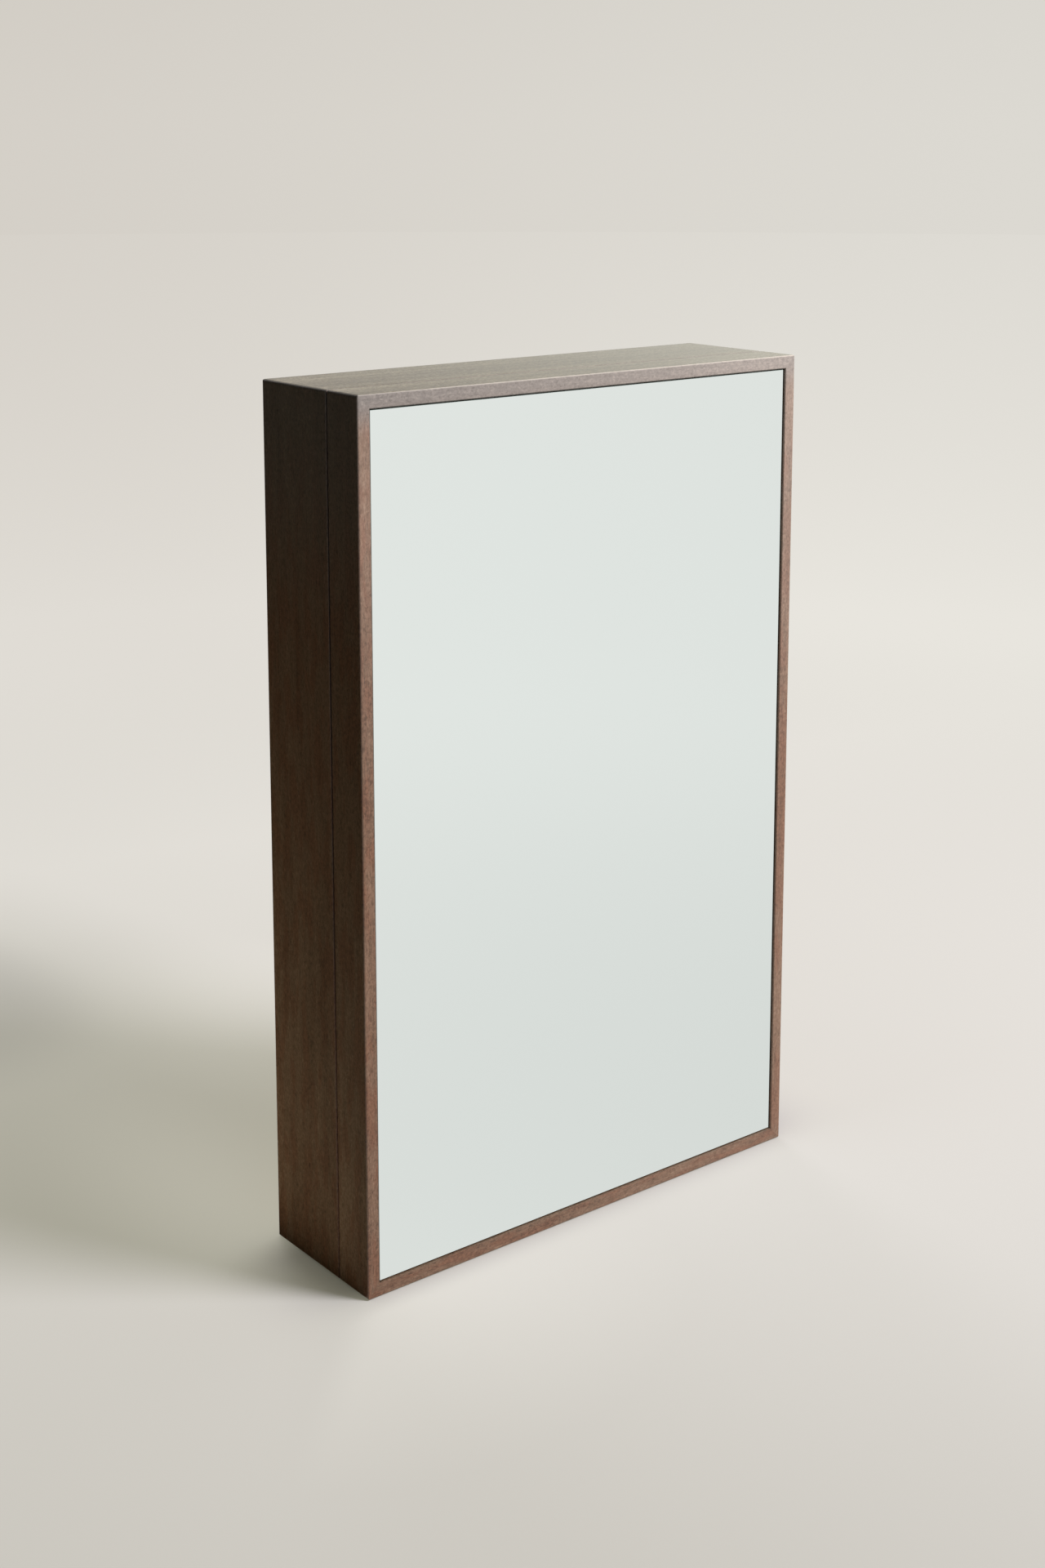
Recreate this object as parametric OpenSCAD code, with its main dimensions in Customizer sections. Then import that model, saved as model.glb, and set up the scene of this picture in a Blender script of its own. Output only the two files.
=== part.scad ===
/* [Cabinet] */
// Width over the two side faces
cab_w = 380; // [320:1:460]
// Height from the base to the top face
cab_h = 600; // [560:1:760]
// Depth of the rear case
case_d = 75; // [72:1:110]
// Depth of the door frame
door_d = 34; // [32:0.5:46]
// Gap between the shut door and the case
seam = 1; // [0.8:0.1:1.6]
// Thickness of the frame boards
board_t = 9.5; // [9:0.25:12]
// Radius of the eased outer edges
edge_r = 1.2; // [0.6:0.1:1.6]
// Radius of the four outer corners
corner_r = 2.2; // [1:0.1:3]
// Chamfer along the inner edges of the boards
inner_c = 0.6; // [0.3:0.1:1]
// How deep panels sit in their grooves
groove_d = 4; // [3:0.25:4.5]
// Play of a board or plate in its cut
fit_gap = 0.1; // [0.05:0.05:0.2]

/* [Mitre splines] */
// Thickness of a spline
spline_t = 2.5; // [2:0.1:3]
// How far a spline reaches into each board
spline_reach = 3.5; // [2.5:0.1:4]
// Distance of a spline from the inner corner, along the mitre
spline_in = 4.5; // [4:0.1:5.5]
// Distance of a spline's ends from the board's edge and the panel's groove
spline_stop = 3; // [3:0.5:6]

/* [Mirror] */
// Thickness of the mirror glass
mirror_t = 3; // [3:0.5:5]
// How far the glass lies behind the front of the frame
mirror_recess = 1.5; // [0.5:0.1:2]
// Gap between the glass and the frame
mirror_gap = 0.5; // [0.3:0.1:1]
// Width of the ground edge round the front of the glass
mirror_arris = 0.5; // [0.3:0.1:1.5]
// Thickness of the foam tape behind the glass
tape_t = 0.8; // [0.5:0.1:1.2]
// Width of a strip of tape
tape_w = 25; // [15:1:40]
// Length of a strip of tape
tape_l = 480; // [300:5:540]
// Distance between the middles of the two outer strips
tape_span = 180; // [120:5:240]
// Thickness of the panel that backs the mirror
backing_t = 4; // [3:0.5:5]
// Thickness of the door's fabric lining
door_lining_t = 1.5; // [1:0.5:2.5]

/* [Back] */
// Thickness of the back panel
back_t = 4; // [3:0.5:5]
// Depth of the recess behind the back panel
back_recess = 9; // [8:0.5:12]
// Thickness of the fabric lining
lining_t = 2; // [1:0.5:3]
// Height of the cleat that carries the cabinet
cleat_h = 56; // [52:1:80]
// Height of the lower batten
batten_h = 40; // [20:1:60]

/* [Keyhole hangers] */
// Distance between the two hangers
hanger_pitch = 300; // [200:5:300]
// Width of a hanger plate
hanger_w = 16; // [14:0.5:20]
// Height of a hanger plate
hanger_h = 44; // [42:1:50]
// Thickness of a hanger plate
hanger_t = 1.5; // [1:0.25:2]
// Corner radius of a hanger plate
hanger_corner_r = 3; // [1:0.5:5]
// Radius of the keyhole's entry
entry_r = 4.5; // [4:0.25:5]
// Radius of the keyhole's narrow end
neck_r = 2.5; // [2:0.25:2.75]
// Height of the narrow end above the entry
neck_rise = 9; // [8:0.5:10]
// Room for the screw head around the keyhole, in the cleat
pocket_gap = 0.6; // [0.4:0.1:1]
// Depth of that room
pocket_d = 5; // [4.5:0.25:5.5]
// Distance between a hanger's two screws
hanger_screw_pitch = 34; // [32:0.5:35]

/* [Shelves] */
// Thickness of the shelves
shelf_t = 8; // [6:0.5:10]
// Underside of the upper shelf above the base
upper_shelf_z = 254; // [240:1:290]
// Underside of the lower shelf above the base
lower_shelf_z = 132; // [120:1:140]
// Distance of the shelves from the front of the case
shelf_setback = 4; // [3:0.5:8]
// How deep the shelves sit in the sides
dado_d = 3; // [2:0.5:4]
// Thickness of the divider between the shelves
divider_t = 8; // [5:0.5:10]
// Thickness of the small shelf beside the ring tray
cubby_t = 6; // [4:0.5:8]
// Underside of the small shelf above the base
cubby_z = 194; // [180:1:205]
// Thickness of the felt pads
pad_t = 1.5; // [1:0.25:2.5]
// Distance of a pad from the walls around it
pad_gap = 0.4; // [0.3:0.1:1]

/* [Bins] */
// Height of the lip in front of the bins
lip_h = 34; // [25:1:50]
// Thickness of that lip
lip_t = 6; // [4:0.5:8]
// Thickness of the wall between the bins
bin_wall_t = 6; // [4:0.5:8]

/* [Ring tray] */
// Thickness of the tray's walls
tray_t = 3; // [2:0.25:4]
// Diameter of a ring roll
roll_d = 17; // [14:0.5:20]
// Gap between two rolls
roll_gap = 0.6; // [0.4:0.1:1.2]
// Distance of a roll from the tray's walls
roll_clear = 0.3; // [0.3:0.1:0.8]
// How far the tray stands proud of the rolls
tray_proud = 1.5; // [0:0.5:4]

/* [Necklace hooks] */
// Height of the hook rail
rail_h = 18; // [16:0.5:24]
// Depth of the hook rail
rail_d = 12; // [10:0.5:14]
// Distance of the hook rail from the ceiling of the case
rail_drop = 8; // [4:0.5:16]
// Distance between two hooks
hook_pitch = 36; // [28:1:50]
// Distance of the last hook from the side, at least
hook_margin = 20; // [12:1:40]
// Radius of the hook's wire
hook_wire_r = 1.1; // [0.9:0.1:1.4]
// Straight reach of a hook
hook_reach = 9; // [8:0.5:12]
// Radius of a hook's bend
hook_bend_r = 3; // [2.5:0.25:4]
// Length of a hook's upright end
hook_tip_l = 4; // [3:0.5:6]
// Radius of the ball on a hook
hook_ball_r = 1.7; // [1.5:0.1:2.2]
// Radius of a hook's rose
hook_rose_r = 3.2; // [2.5:0.1:4]
// Thickness of a hook's rose
hook_rose_t = 1.2; // [0.8:0.1:1.6]
// Radius of a hook's threaded end
hook_thread_r = 0.9; // [0.7:0.1:0.9]
// Length of a hook's threaded end
hook_thread_l = 8; // [5:0.5:9]

/* [Rods] */
// Radius of the rods in the case
case_rod_r = 2; // [1.5:0.25:2.5]
// Radius of the rods in the door
door_rod_r = 1.5; // [1:0.25:2]
// How deep a rod's ends sit in the boards
rod_seat = 3; // [2:0.5:4]
// Play around a rod in its seat
rod_gap = 0.1; // [0.05:0.05:0.2]
// Width of the rose around a rod's end
rose_w = 2.4; // [1.5:0.1:3]
// Thickness of that rose
rose_t = 1.4; // [1:0.1:2]
// Height of the gallery rod above the upper shelf
gallery_rise = 20; // [14:1:30]
// Distance of the gallery rod from the shelf's front edge
gallery_in = 5; // [4:0.5:8]
// Distance of the bracelet rod from the underside of the lower shelf
bracelet_drop = 22; // [14:1:30]
// Distance of the bracelet rod from the front of the case
bracelet_in = 26; // [20:1:40]

/* [Door fittings] */
// Height of the lowest earring bar above the base
bar_z = 330; // [300:1:340]
// Distance between two earring bars
bar_pitch = 100; // [60:1:110]
// How many earring bars there are
bar_count = 3; // [1:1:3]
// Distance of the earring bars and rails from the door's rear edge
bar_in = 8; // [6:0.5:9]
// Thickness of the door's ledges
ledge_t = 6; // [4:0.5:8]
// Underside of the lower ledge above the base
lower_ledge_z = 50; // [20:1:80]
// Underside of the upper ledge above the base
upper_ledge_z = 180; // [150:1:220]
// Distance of a ledge's front from the door's rear edge
ledge_in = 2; // [1:0.5:4]
// Height of a ledge's rail above the ledge
rail_rise = 26; // [18:1:40]

/* [Catch] */
// Radius of the catch magnets and plates
magnet_r = 3; // [2:0.25:3]
// Thickness of a catch magnet
magnet_t = 3; // [2:0.5:5]
// Thickness of a catch plate
plate_t = 1.2; // [0.8:0.1:2]
// Distance between the two magnets
magnet_pitch = 300; // [100:5:400]
// Radius of a door bumper
bumper_r = 3; // [2:0.25:3]
// Gap between a bumper and the shut door
bumper_gap = 0.1; // [0.05:0.05:0.3]
// Distance of a bumper from the cabinet's ends
bumper_in = 40; // [20:1:60]

/* [Hinges] */
// Distance of a hinge's middle from the cabinet's ends
hinge_in = 100; // [60:1:140]
// Length of a hinge
hinge_l = 50; // [40:1:70]
// How many knuckles a hinge has
knuckle_n = 5; // [3:2:7]
// Outer radius of a knuckle
knuckle_r = 2.25; // [2:0.05:2.4]
// Distance of the hinge axis from the cabinet's side
axis_out = 2.5; // [2.4:0.05:3.5]
// Gap between two knuckles
knuckle_gap = 0.2; // [0.1:0.05:0.4]
// Radius of the hinge pin
pin_r = 1.25; // [1:0.05:1.4]
// Running clearance around the pin
pin_gap = 0.05; // [0.02:0.01:0.09]
// Radius of the pin's head
pin_head_r = 1.9; // [1.6:0.05:2.2]
// Thickness of the pin's head
pin_head_t = 0.8; // [0.5:0.1:1.2]
// Thickness of a leaf
leaf_t = 1; // [0.8:0.05:1.2]
// Gap between the two leaves when shut
leaf_gap = 0.2; // [0.1:0.05:0.4]
// Width of a leaf on the board
leaf_w = 8; // [7:0.25:8.5]
// Room around the other leaf's knuckles
knuckle_room = 0.25; // [0.15:0.05:0.4]
// Distance between a leaf's two screws
leaf_screw_pitch = 32; // [24:1:36]

/* [Screws] */
// Radius of a screw's shank
shank_r = 1.2; // [1:0.05:1.3]
// Radius of a screw's head
head_r = 2.1; // [1.9:0.05:2.3]
// Height of a screw's countersunk head
head_h = 0.9; // [0.7:0.05:1]
// Length of a hinge screw
leaf_screw_l = 12; // [8:0.5:16]
// Length of a hanger screw
hanger_screw_l = 7; // [5:0.25:7.5]
// Radius of the play around a screw
screw_gap = 0.05; // [0.02:0.01:0.1]
// Width of the cross in a screw's head
cross_w = 0.5; // [0.3:0.1:0.6]
// Depth of the cross in a screw's head
cross_d = 0.5; // [0.3:0.1:0.6]

/* [Hidden] */
$fn = 48;

walnut = [0.55, 0.44, 0.37];
inner_walnut = [0.50, 0.40, 0.33];
plywood = [0.72, 0.60, 0.46];
linen = [0.83, 0.79, 0.71];
felt = [0.78, 0.73, 0.65];
brass = [0.78, 0.63, 0.35];
steel = [0.66, 0.67, 0.68];
silver = [0.87, 0.89, 0.88];
foam = [0.93, 0.92, 0.90];
clear_rubber = [0.90, 0.90, 0.88];

// How far a cutter runs past the face that it cuts
past = 1;

// Depth planes, from the front of the door to the wall
cab_d = door_d + seam + case_d;
front_y = -cab_d / 2;
door_back_y = front_y + door_d;
case_front_y = door_back_y + seam;
back_y = cab_d / 2;
seam_y = (door_back_y + case_front_y) / 2;
mirror_y = front_y + mirror_recess;
tape_y = mirror_y + mirror_t;
backing_y = tape_y + tape_t;
door_lining_y = backing_y + backing_t;
door_clear_y = door_lining_y + door_lining_t;
cleat_y = back_y - back_recess;
panel_y = cleat_y - back_t;
lining_y = panel_y - lining_t;

// Inside of the frames
inner_x = cab_w / 2 - board_t;
floor_z = board_t;
ceil_z = cab_h - board_t;
edge_x = inner_x + board_t / 2;

// Shelves, tray and bins
shelf_y = case_front_y + shelf_setback;
shelf_d = lining_y - shelf_y;
bay_z = lower_shelf_z + shelf_t;
bay_h = upper_shelf_z - bay_z;
tray_x = -inner_x + fit_gap;
tray_w = inner_x - divider_t / 2 - 2 * fit_gap;
tray_h = bay_h - fit_gap;
tray_d = tray_t + roll_clear + roll_d + tray_proud;
tray_y = lining_y - tray_d;
roll_pitch = roll_d + roll_gap;
roll_n = floor((tray_h - 2 * tray_t - 2 * roll_clear + roll_gap) / roll_pitch);
roll_x = tray_x + tray_t + roll_clear;
roll_l = tray_w - 2 * tray_t - 2 * roll_clear;
roll_y = lining_y - tray_t - roll_clear - roll_d / 2;
roll_z = bay_z + tray_h / 2 - (roll_n - 1) * roll_pitch / 2;

// Hooks
rail_z = ceil_z - rail_drop - rail_h;
rail_y = lining_y - rail_d;
hook_n = 1 + 2 * floor((inner_x - hook_margin) / hook_pitch);
hook_z = rail_z + rail_h / 2;

// Rods
gallery_y = shelf_y + gallery_in;
gallery_z = upper_shelf_z + shelf_t + gallery_rise;
bracelet_y = case_front_y + bracelet_in;
bracelet_z = lower_shelf_z - bracelet_drop;
bar_y = door_back_y - bar_in;
ledge_d = door_back_y - ledge_in - door_clear_y;
bar_heights = [for (i = [0 : bar_count - 1]) bar_z + i * bar_pitch];
ledge_heights = [lower_ledge_z, upper_ledge_z];
rail_heights = [for (z = ledge_heights) z + ledge_t + rail_rise];

// Hangers
cleat_z = ceil_z - cleat_h;
hanger_z = cleat_z + cleat_h / 2;
entry_z = hanger_z - neck_rise / 2;

// Hinges
axis_x = cab_w / 2 + axis_out;
hinge_heights = [hinge_in, cab_h - hinge_in];
knuckle_l = hinge_l / knuckle_n;
leaf_screw_x = cab_w / 2 - leaf_w / 2;
case_leaf_y = seam_y + leaf_gap / 2;
door_leaf_y = seam_y - leaf_gap / 2;

// Catch and bumpers
magnet_heights = [for (s = [-1, 1]) cab_h / 2 + s * magnet_pitch / 2];
bumper_heights = [bumper_in, cab_h - bumper_in];
bumper_t = seam - bumper_gap;

// Waste outside a round corner that lies at the origin
module corner_waste(r) {
  difference() {
    translate([-past, -past]) square(r + past);
    translate([r, r]) circle(r);
  }
}

// Cross-section of a frame board, its outer face at x = 0
module board_section(depth) {
  difference() {
    square([board_t, depth]);
    corner_waste(edge_r);
    translate([0, depth]) mirror([0, 1]) corner_waste(edge_r);
    translate([board_t, 0]) rotate(45) square(inner_c * sqrt(2), center = true);
    translate([board_t, depth]) rotate(45) square(inner_c * sqrt(2), center = true);
  }
}

// Face of a frame board, mitred at both ends
module board_face(length) {
  difference() {
    polygon([[0, 0], [board_t, board_t], [board_t, length - board_t], [0, length]]);
    corner_waste(corner_r);
    translate([0, length]) mirror([0, 1]) corner_waste(corner_r);
  }
}

// Mitred board that runs up from the origin, its outer face at x = 0
module board(length, depth) {
  intersection() {
    translate([0, 0, -past]) linear_extrude(length + 2 * past) board_section(depth);
    translate([0, depth + past, 0])
      rotate([90, 0, 0]) linear_extrude(depth + 2 * past) board_face(length);
  }
}

// Left upright of a frame that starts at depth y
module left_upright(y, depth) {
  translate([-cab_w / 2, y, 0]) board(cab_h, depth);
}

// Bottom board of a frame that starts at depth y
module bottom_board(y, depth) {
  translate([cab_w / 2, y, 0]) rotate([0, -90, 0]) board(cab_w, depth);
}

// Its child, turned over to the top of the cabinet
module to_top() {
  translate([0, 0, cab_h]) mirror([0, 0, 1]) children();
}

// Its child, at each of the cabinet's four corners
module at_corners() {
  for (s = [0, 1]) {
    mirror([s, 0, 0]) {
      children();
      to_top() children();
    }
  }
}

// Splines between two depths, or with play their slots
module splines(y0, y1, play) {
  inset = spline_in / sqrt(2);
  at_corners()
    translate([-inner_x - inset, (y0 + y1) / 2, floor_z - inset])
      rotate([0, 45, 0])
        cube([2 * spline_reach + 2 * play, y1 - y0 - 2 * spline_stop + 2 * play,
              spline_t + 2 * play], center = true);
}

// Panel let into grooves all round, or with play the grooves
module grooved_panel(y, thickness, play) {
  reach = groove_d - fit_gap + play;
  translate([-inner_x - reach, y - play, floor_z - reach])
    cube([2 * (inner_x + reach), thickness + 2 * play, ceil_z - floor_z + 2 * reach]);
}

// Panel that only fits between the boards
module loose_panel(y, thickness, side_gap) {
  translate([-inner_x + side_gap, y, floor_z + side_gap])
    cube([2 * (inner_x - side_gap), thickness, ceil_z - floor_z - 2 * side_gap]);
}

// Round rod across a frame, seated in both boards, or with play its seats
module rod_across(r, y, z, play) {
  translate([-inner_x - rod_seat, y, z])
    rotate([0, 90, 0]) cylinder(h = 2 * (inner_x + rod_seat), r = r + play);
}

// Roses where a rod meets the two boards
module rod_roses(r, y, z) {
  for (s = [0, 1])
    mirror([s, 0, 0])
      translate([-inner_x, y, z]) rotate([0, 90, 0])
        difference() {
          cylinder(h = rose_t, r = r + rose_w);
          translate([0, 0, -past]) cylinder(h = rose_t + 2 * past, r = r + rod_gap);
        }
}

// Countersunk screw, its head's top at the origin and its tip down
module screw(length) {
  tip_l = 2 * shank_r;
  difference() {
    union() {
      translate([0, 0, -head_h]) cylinder(h = head_h, r1 = shank_r, r2 = head_r);
      translate([0, 0, -length + tip_l]) cylinder(h = length - tip_l - head_h, r = shank_r);
      translate([0, 0, -length]) cylinder(h = tip_l, r1 = shank_r / 4, r2 = shank_r);
    }
    for (turn = [0, 90])
      rotate(turn) cube([2 * shank_r, cross_w, 2 * cross_d], center = true);
  }
}

// Hole for a screw, with its countersink
module screw_hole(length) {
  translate([0, 0, -head_h])
    cylinder(h = head_h, r1 = shank_r + screw_gap, r2 = head_r + screw_gap);
  translate([0, 0, -length - screw_gap])
    cylinder(h = length + screw_gap, r = shank_r + screw_gap);
}

// Its child, at the two screws of the hinge leaves at these heights
module at_leaf_screws(heights, y, turn) {
  for (z = heights)
    for (s = [-1, 1])
      translate([leaf_screw_x, y, z + s * leaf_screw_pitch / 2]) rotate([turn, 0, 0]) children();
}

// Mortise for a hinge leaf in the edge of a board
module leaf_mortises(y) {
  for (z = hinge_heights)
    translate([cab_w / 2 - leaf_w - fit_gap, y, z - hinge_l / 2 - fit_gap])
      cube([leaf_w + fit_gap + past, leaf_t, hinge_l + 2 * fit_gap]);
}

// Round seats for magnets or plates, from y into a board's edge
module disc_seats(y, thickness, play) {
  for (z = magnet_heights)
    translate([-edge_x, y, z])
      rotate([-90, 0, 0]) cylinder(h = thickness, r = magnet_r + play);
}

// Dadoes for the two shelves
module shelf_dadoes() {
  for (z = [lower_shelf_z, upper_shelf_z])
    translate([-inner_x - dado_d, shelf_y - fit_gap, z - fit_gap])
      cube([2 * (inner_x + dado_d), shelf_d + fit_gap, shelf_t + 2 * fit_gap]);
}

// Seats of the two rods in the case
module case_rod_seats() {
  rod_across(case_rod_r, gallery_y, gallery_z, rod_gap);
  rod_across(case_rod_r, bracelet_y, bracelet_z, rod_gap);
}

// Seats of all the rods in the door
module door_rod_seats() {
  for (z = concat(bar_heights, rail_heights))
    rod_across(door_rod_r, bar_y, z, rod_gap);
}

// Cuts that all four boards of the case share
module case_cuts() {
  grooved_panel(panel_y, back_t, fit_gap);
  splines(case_front_y, panel_y, fit_gap);
}

// Cuts that all four boards of the door share
module door_cuts() {
  grooved_panel(backing_y, backing_t, fit_gap);
  splines(door_lining_y, door_back_y, fit_gap);
}

module case_left_side() {
  color(walnut)
    difference() {
      left_upright(case_front_y, case_d);
      case_cuts();
      shelf_dadoes();
      case_rod_seats();
      disc_seats(case_front_y, magnet_t, fit_gap / 2);
    }
}

module case_right_side() {
  color(walnut)
    difference() {
      mirror([1, 0, 0]) left_upright(case_front_y, case_d);
      case_cuts();
      shelf_dadoes();
      case_rod_seats();
      leaf_mortises(case_leaf_y);
      at_leaf_screws(hinge_heights, case_leaf_y, 90) screw_hole(leaf_screw_l);
    }
}

module case_top() {
  color(walnut)
    difference() {
      to_top() bottom_board(case_front_y, case_d);
      case_cuts();
    }
}

module case_bottom() {
  color(walnut)
    difference() {
      bottom_board(case_front_y, case_d);
      case_cuts();
    }
}

module case_corner_splines() {
  color(plywood) splines(case_front_y, panel_y, 0);
}

module back_panel() {
  color(plywood) grooved_panel(panel_y, back_t, 0);
}

module back_lining() {
  color(linen) loose_panel(lining_y, lining_t, fit_gap);
}

// One hanger plate's outline, in width and height
module hanger_outline(play) {
  w = hanger_w + 2 * play;
  h = hanger_h + 2 * play;
  r = hanger_corner_r;
  difference() {
    square([w, h], center = true);
    for (sx = [0, 1])
      for (sz = [0, 1])
        mirror([sx, 0]) mirror([0, sz]) translate([-w / 2, -h / 2]) corner_waste(r);
  }
}

// Slot with round ends that the keyhole's entry and neck lie in
module keyhole_pocket() {
  r = entry_r + pocket_gap;
  translate([0, entry_z - hanger_z]) circle(r);
  translate([0, entry_z - hanger_z + neck_rise]) circle(r);
  translate([-r, entry_z - hanger_z]) square([2 * r, neck_rise]);
}

// Keyhole of one hanger
module keyhole() {
  translate([0, entry_z - hanger_z]) circle(entry_r);
  translate([0, entry_z - hanger_z + neck_rise]) circle(neck_r);
  translate([-neck_r, entry_z - hanger_z]) square([2 * neck_r, neck_rise]);
}

// Its flat child at both hangers, from depth y towards the wall
module at_hangers(y, thickness) {
  for (s = [-1, 1])
    translate([s * hanger_pitch / 2, y + thickness, hanger_z])
      rotate([90, 0, 0]) linear_extrude(thickness) children();
}

// Its child at the screws of both hangers
module at_hanger_screws() {
  for (sx = [-1, 1])
    for (sz = [-1, 1])
      translate([sx * hanger_pitch / 2, back_y, hanger_z + sz * hanger_screw_pitch / 2])
        rotate([-90, 0, 0]) children();
}

module hanging_cleat() {
  color(plywood)
    difference() {
      translate([-inner_x, cleat_y, cleat_z]) cube([2 * inner_x, back_recess, cleat_h]);
      at_hangers(back_y - hanger_t, hanger_t + past) hanger_outline(fit_gap);
      at_hangers(back_y - hanger_t - pocket_d, pocket_d + past) keyhole_pocket();
      at_hanger_screws() screw_hole(hanger_screw_l);
    }
}

module lower_batten() {
  color(plywood)
    translate([-inner_x, cleat_y, floor_z]) cube([2 * inner_x, back_recess, batten_h]);
}

module keyhole_hangers() {
  color(steel)
    difference() {
      at_hangers(back_y - hanger_t, hanger_t) hanger_outline(0);
      at_hangers(back_y - hanger_t - past, hanger_t + 2 * past) keyhole();
      at_hanger_screws() screw_hole(hanger_screw_l);
    }
}

module hanger_screws() {
  color(steel) at_hanger_screws() screw(hanger_screw_l);
}

// Its child at the foot of each necklace hook
module at_hooks() {
  for (i = [0 : hook_n - 1])
    translate([(i - (hook_n - 1) / 2) * hook_pitch, rail_y, hook_z]) children();
}

module hook_rail() {
  color(inner_walnut)
    difference() {
      translate([-inner_x, rail_y, rail_z]) cube([2 * inner_x, rail_d, rail_h]);
      at_hooks()
        rotate([-90, 0, 0]) cylinder(h = hook_thread_l + fit_gap, r = hook_thread_r + screw_gap);
    }
}

module necklace_hooks() {
  color(brass)
    at_hooks() {
      rotate([-90, 0, 0]) cylinder(h = hook_thread_l, r = hook_thread_r);
      rotate([90, 0, 0]) cylinder(h = hook_rose_t, r = hook_rose_r);
      rotate([90, 0, 0]) cylinder(h = hook_reach, r = hook_wire_r);
      translate([0, -hook_reach, hook_bend_r])
        rotate([180, 90, 0])
          rotate_extrude(angle = 90) translate([hook_bend_r, 0]) circle(hook_wire_r);
      translate([0, -hook_reach - hook_bend_r, hook_bend_r]) {
        cylinder(h = hook_tip_l, r = hook_wire_r);
        translate([0, 0, hook_tip_l]) sphere(hook_ball_r);
      }
    }
}

// Shelf in the dadoes of the two sides
module housed_shelf(z) {
  reach = inner_x + dado_d - fit_gap;
  translate([-reach, shelf_y, z]) cube([2 * reach, shelf_d, shelf_t]);
}

module upper_shelf() {
  color(inner_walnut) housed_shelf(upper_shelf_z);
}

module lower_shelf() {
  color(inner_walnut) housed_shelf(lower_shelf_z);
}

module middle_divider() {
  color(inner_walnut)
    translate([-divider_t / 2, shelf_y, bay_z]) cube([divider_t, shelf_d, bay_h]);
}

module cubby_shelf() {
  color(inner_walnut)
    translate([divider_t / 2, shelf_y, cubby_z])
      cube([inner_x - divider_t / 2, shelf_d, cubby_t]);
}

module gallery_rod() {
  color(brass) rod_across(case_rod_r, gallery_y, gallery_z, 0);
}

module bracelet_rod() {
  color(brass) rod_across(case_rod_r, bracelet_y, bracelet_z, 0);
}

module case_rod_roses() {
  color(brass) {
    rod_roses(case_rod_r, gallery_y, gallery_z);
    rod_roses(case_rod_r, bracelet_y, bracelet_z);
  }
}

module ring_tray() {
  color(inner_walnut)
    difference() {
      translate([tray_x, tray_y, bay_z]) cube([tray_w, tray_d, tray_h]);
      translate([tray_x + tray_t, tray_y - past, bay_z + tray_t])
        cube([tray_w - 2 * tray_t, tray_d - tray_t + past, tray_h - 2 * tray_t]);
    }
}

module ring_rolls() {
  color(linen)
    for (i = [0 : roll_n - 1])
      translate([roll_x, roll_y, roll_z + i * roll_pitch])
        rotate([0, 90, 0]) cylinder(h = roll_l, r = roll_d / 2);
}

module bin_divider() {
  color(inner_walnut)
    translate([-bin_wall_t / 2, shelf_y + lip_t, floor_z])
      cube([bin_wall_t, shelf_d - lip_t, lip_h]);
}

module bin_front_lip() {
  color(inner_walnut)
    translate([-inner_x, shelf_y, floor_z]) cube([2 * inner_x, lip_t, lip_h]);
}

// Felt pad on a floor, clear of the walls around it
module pad(x0, x1, y0, z) {
  translate([x0 + pad_gap, y0 + pad_gap, z])
    cube([x1 - x0 - 2 * pad_gap, lining_y - y0 - 2 * pad_gap, pad_t]);
}

module bin_pads() {
  color(felt)
    for (s = [0, 1])
      mirror([s, 0, 0]) pad(bin_wall_t / 2, inner_x, shelf_y + lip_t, floor_z);
}

module shelf_pads() {
  color(felt) {
    pad(divider_t / 2, inner_x, shelf_y, bay_z);
    pad(divider_t / 2, inner_x, shelf_y, cubby_z + cubby_t);
    pad(-inner_x, inner_x, shelf_y, upper_shelf_z + shelf_t);
  }
}

module catch_magnets() {
  color(steel) disc_seats(case_front_y, magnet_t, 0);
}

module catch_plates() {
  color(steel) disc_seats(door_back_y - plate_t, plate_t, 0);
}

module door_bumpers() {
  color(clear_rubber)
    for (z = bumper_heights)
      translate([-edge_x, case_front_y, z])
        rotate([90, 0, 0]) cylinder(h = bumper_t, r = bumper_r);
}

// Knuckles of a hinge from the first one given, every second one, with play around them
module knuckles(z, first, play) {
  for (i = [first : 2 : knuckle_n - 1])
    translate([axis_x, seam_y, z - hinge_l / 2 + i * knuckle_l + knuckle_gap / 2 - play])
      cylinder(h = knuckle_l - knuckle_gap + 2 * play, r = knuckle_r + play);
}

// Leaf of a hinge, drilled for its pin, with its own knuckles and room for the others
module leaf(z, y, first) {
  color(brass)
    difference() {
      union() {
        difference() {
          translate([cab_w / 2 - leaf_w, y, z - hinge_l / 2])
            cube([leaf_w + axis_out, leaf_t, hinge_l]);
          knuckles(z, 1 - first, knuckle_room);
        }
        knuckles(z, first, 0);
      }
      translate([axis_x, seam_y, z - hinge_l / 2 - past])
        cylinder(h = hinge_l + 2 * past, r = pin_r + pin_gap);
      children();
    }
}

module case_leaf(z) {
  leaf(z, case_leaf_y, 0) at_leaf_screws([z], case_leaf_y, 90) screw_hole(leaf_screw_l);
}

module door_leaf(z) {
  leaf(z, door_leaf_y - leaf_t, 1) at_leaf_screws([z], door_leaf_y, -90) screw_hole(leaf_screw_l);
}

module upper_hinge_case_leaf() {
  case_leaf(cab_h - hinge_in);
}

module lower_hinge_case_leaf() {
  case_leaf(hinge_in);
}

module upper_hinge_door_leaf() {
  door_leaf(cab_h - hinge_in);
}

module lower_hinge_door_leaf() {
  door_leaf(hinge_in);
}

module hinge_case_screws() {
  color(brass) at_leaf_screws(hinge_heights, case_leaf_y, 90) screw(leaf_screw_l);
}

module hinge_door_screws() {
  color(brass) at_leaf_screws(hinge_heights, door_leaf_y, -90) screw(leaf_screw_l);
}

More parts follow.
